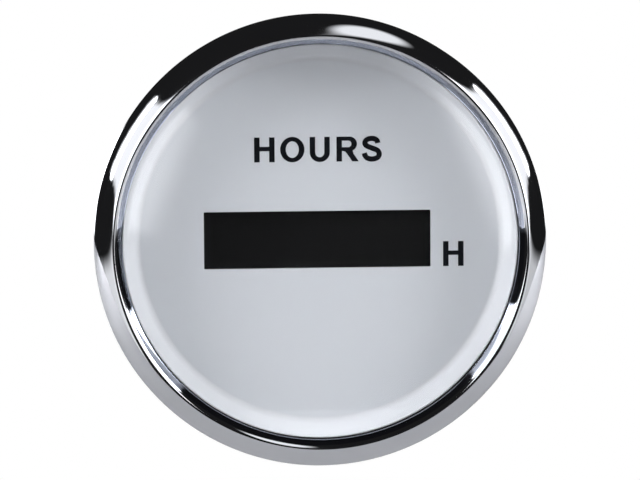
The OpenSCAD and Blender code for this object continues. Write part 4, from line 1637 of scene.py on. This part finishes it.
@dataclass
class Studio:
    """Pale floor, dark room, softboxes and the camera at the photograph's angle.

    Attributes:
        azimuth: Camera's turn round the meter, in degrees.
        elevation: Camera's angle above the horizon, in degrees.
        roll: Camera's turn about its own axis, in degrees.
        distance: Camera's distance from its aim, in millimetres.
        aim: Point that the camera looks at, in the drawing frame.
        focal: Focal length on a 36 mm sensor.
        floor_drop: Depth of the floor below the meter's axis, in metres.
        floor_radius: Radius of the floor, in metres.
        floor_back: How far the floor's middle lies behind the meter, in metres.
        floor_colour: Colour of the floor as the camera sees it.
        floor_shade: Brightness of the floor before the meter and out to its sides, as the meter sees it: for
            all rays but the camera's the floor is painted darker than floor_colour, most darkly in a strip
            below the meter, as painted shade.
        floor_sides: Distances to each side between which that brightness changes, in metres.
        floor_fade: Distances from the meter between which the floor turns white, in metres.
        room_radius: Radius of the dark room, in metres.
        room_level: Radiance of the room's dark cloth.
        softboxes: Lit panels round the meter.
    """

    azimuth: float = -3.0
    elevation: float = 6.2
    roll: float = -0.4
    distance: float = 500.0
    aim: tuple[float, float, float] = (0.0, 0.04, 4.5)
    focal: float = 204.75
    floor_drop: float = 0.1
    floor_radius: float = 0.7
    floor_back: float = 0.4
    floor_colour: Colour = (0.75, 0.755, 0.77)
    floor_shade: Point = (0.33, 0.54)
    floor_sides: Point = (0.07, 0.26)
    floor_fade: Point = (0.16, 0.3)
    room_radius: float = 2.5
    room_level: float = 0.0112
    softboxes: tuple[Softbox, ...] = (
        Softbox("softbox_left", ((-6.2, -6.5), (-3.4, 1.1)), ((-104.0, 26.0), (-75.0, 64.0)),
                (2.3, 1.1, 22.5, 0.95), (0.02, 0.12, 0.12), ragged=0.12),
        Softbox("softbox_right", ((13.2, -7.8), (8.9, 3.1)), ((101.0, 23.0), (71.0, 60.0)),
                (2.3, 1.1, 22.5, 0.95), (0.02, 0.12, 0.12), ragged=0.12),
        Softbox("softbox_top", ((1.2, 1.5), (3.5, 0.5)), ((7.0, 88.0), (46.0, 74.0)),
                (0.95, 0.95, 0.95, 0.95), (0.22, 0.22, 0.22), outline=Cloth.OVAL),
        Softbox("card_left", ((-10.0, -16.0), (-8.0, -4.5)), ((-70.0, -62.0), (-97.0, -13.0)),
                (0.9, 0.8, 0.6, 0.4), (0.04, 0.04, 0.2)),
        Softbox("card_right", ((17.0, -15.0), (15.0, -4.0)), ((72.0, -58.0), (97.0, -13.0)),
                (0.75, 0.6, 0.5, 0.4), (0.04, 0.04, 0.2)),
        Softbox("rear_fill", ((-70.0, 5.0), (-45.0, 55.0)), ((70.0, 5.0), (45.0, 55.0)),
                (1.5, 1.5, 1.5, 1.5), (0.1, 0.1, 0.1), behind=True, mirrored=False, reach=1.1),
        Softbox("rear_card", ((-36.0, -5.5), (-36.0, -1.2)), ((36.0, -5.5), (36.0, -1.2)),
                (3.0, 3.0, 3.0, 3.0), (0.2, 0.2, 0.2), behind=True, reach=0.6),
    )

    def build_camera(self) -> None:
        """Sets the camera at the photograph's viewing angle."""
        turn, tilt = math.radians(self.azimuth), math.radians(self.elevation)
        back = Vector((math.sin(turn) * math.cos(tilt), -math.cos(turn) * math.cos(tilt), math.sin(tilt)))
        lens = bpy.data.cameras.new("camera")
        lens.lens, lens.sensor_width = self.focal, 36.0
        lens.clip_start, lens.clip_end = 0.01, 20.0
        camera = bpy.data.objects.new("camera", lens)
        camera.location = seat(*self.aim) + back * self.distance * MM
        camera.rotation_mode = "QUATERNION"
        level = (-back).to_track_quat("-Z", "Y")
        camera.rotation_quaternion = level @ Quaternion((0.0, 0.0, 1.0), math.radians(self.roll))
        bpy.context.scene.collection.objects.link(camera)
        bpy.context.scene.camera = camera

    def build_world(self) -> None:
        """Makes the world a white backdrop that lights nothing."""
        world = bpy.data.worlds.new("white_backdrop")
        world.use_nodes = True
        graph = Graph(world.node_tree)
        path = graph.add("ShaderNodeLightPath")
        mirrored = graph.math("MAXIMUM", path.outputs["Is Glossy Ray"], path.outputs["Is Transmission Ray"])
        sky = graph.add("ShaderNodeBackground")
        sky.inputs["Color"].default_value = (1.0, 1.0, 1.0, 1.0)
        graph.feed(sky.inputs["Strength"], graph.math("MAXIMUM", path.outputs["Is Camera Ray"], mirrored))
        graph.feed(graph.add("ShaderNodeOutputWorld").inputs["Surface"], sky.outputs[0])
        bpy.context.scene.world = world

    def floor_material(self) -> bpy.types.Material:
        """Makes the pale floor, which fades into the white backdrop away from the meter.

        Returns:
            The material.
        """
        material = bpy.data.materials.new("pale_floor")
        material.use_nodes = True
        graph = Graph(material.node_tree)
        where = graph.add("ShaderNodeTexCoord").outputs["Object"]
        reach = graph.add("ShaderNodeVectorMath", operation="LENGTH")
        graph.feed(reach.inputs[0], where)
        direct = graph.add("ShaderNodeLightPath").outputs["Is Camera Ray"]
        far = graph.math("MULTIPLY", direct, graph.ramp(reach.outputs["Value"], *self.floor_fade))
        sheet = graph.add("ShaderNodeBsdfDiffuse")
        spot = graph.add("ShaderNodeSeparateXYZ")
        graph.feed(spot.inputs[0], where)
        # Painted shade: for all rays but the camera's the floor is darker, most darkly in a strip below the
        # meter, and the metal mirrors it.
        aside = graph.ramp(graph.math("ABSOLUTE", spot.outputs["X"]), *self.floor_sides)
        cloth = graph.blend(aside, *((shade, shade, shade * 1.02) for shade in self.floor_shade))
        darker = tuple(c * 0.97 for c in self.floor_colour)
        paper = graph.blend(graph.noise(where, 40.0), self.floor_colour, darker)
        graph.feed(sheet.inputs["Color"], graph.blend(direct, cloth, paper))
        glow = graph.add("ShaderNodeEmission")
        mix = graph.add("ShaderNodeMixShader")
        graph.feed(mix.inputs[0], far)
        graph.feed(mix.inputs[1], sheet.outputs[0])
        graph.feed(mix.inputs[2], glow.outputs[0])
        graph.feed(graph.add("ShaderNodeOutputMaterial").inputs["Surface"], mix.outputs[0])
        return material

    def build_floor(self) -> None:
        """Lays the floor below the meter."""
        bm = bmesh.new()
        bmesh.ops.create_circle(bm, cap_ends=True, radius=self.floor_radius, segments=128)
        bmesh.ops.translate(bm, verts=bm.verts, vec=(0.0, self.floor_back, -self.floor_drop))
        mesh = bpy.data.meshes.new("studio_floor")
        bm.to_mesh(mesh)
        bm.free()
        mesh.materials.append(self.floor_material())
        held(mesh, "studio_floor")

    def build_room(self) -> None:
        """Hangs dark cloth all round, which only reflections see."""
        material = bpy.data.materials.new("dark_cloth")
        material.use_nodes = True
        graph = Graph(material.node_tree)
        glow = graph.add("ShaderNodeEmission")
        glow.inputs["Color"].default_value = (0.95, 0.95, 1.0, 1.0)
        glow.inputs["Strength"].default_value = self.room_level
        graph.feed(graph.add("ShaderNodeOutputMaterial").inputs["Surface"], glow.outputs[0])
        bm = bmesh.new()
        bmesh.ops.create_icosphere(bm, subdivisions=4, radius=self.room_radius)
        mesh = bpy.data.meshes.new("dark_room")
        bm.to_mesh(mesh)
        bm.free()
        mesh.materials.append(material)
        room = held(mesh, "dark_room")
        room.visible_camera = False

    def build(self) -> None:
        """Builds the whole studio."""
        bpy.context.scene.view_settings.view_transform = "Standard"
        self.build_camera()
        self.build_world()
        self.build_floor()
        self.build_room()
        for softbox in self.softboxes:
            softbox.build()


def main() -> None:
    """Builds the meter and its studio."""
    logging.basicConfig(level=logging.INFO, format="%(name)s: %(message)s")
    for part in (Bezel(), Lens(), Dial(), Works(), Cup(), Clamp(), Studio()):
        part.build()


if __name__ == "__main__":
    main()
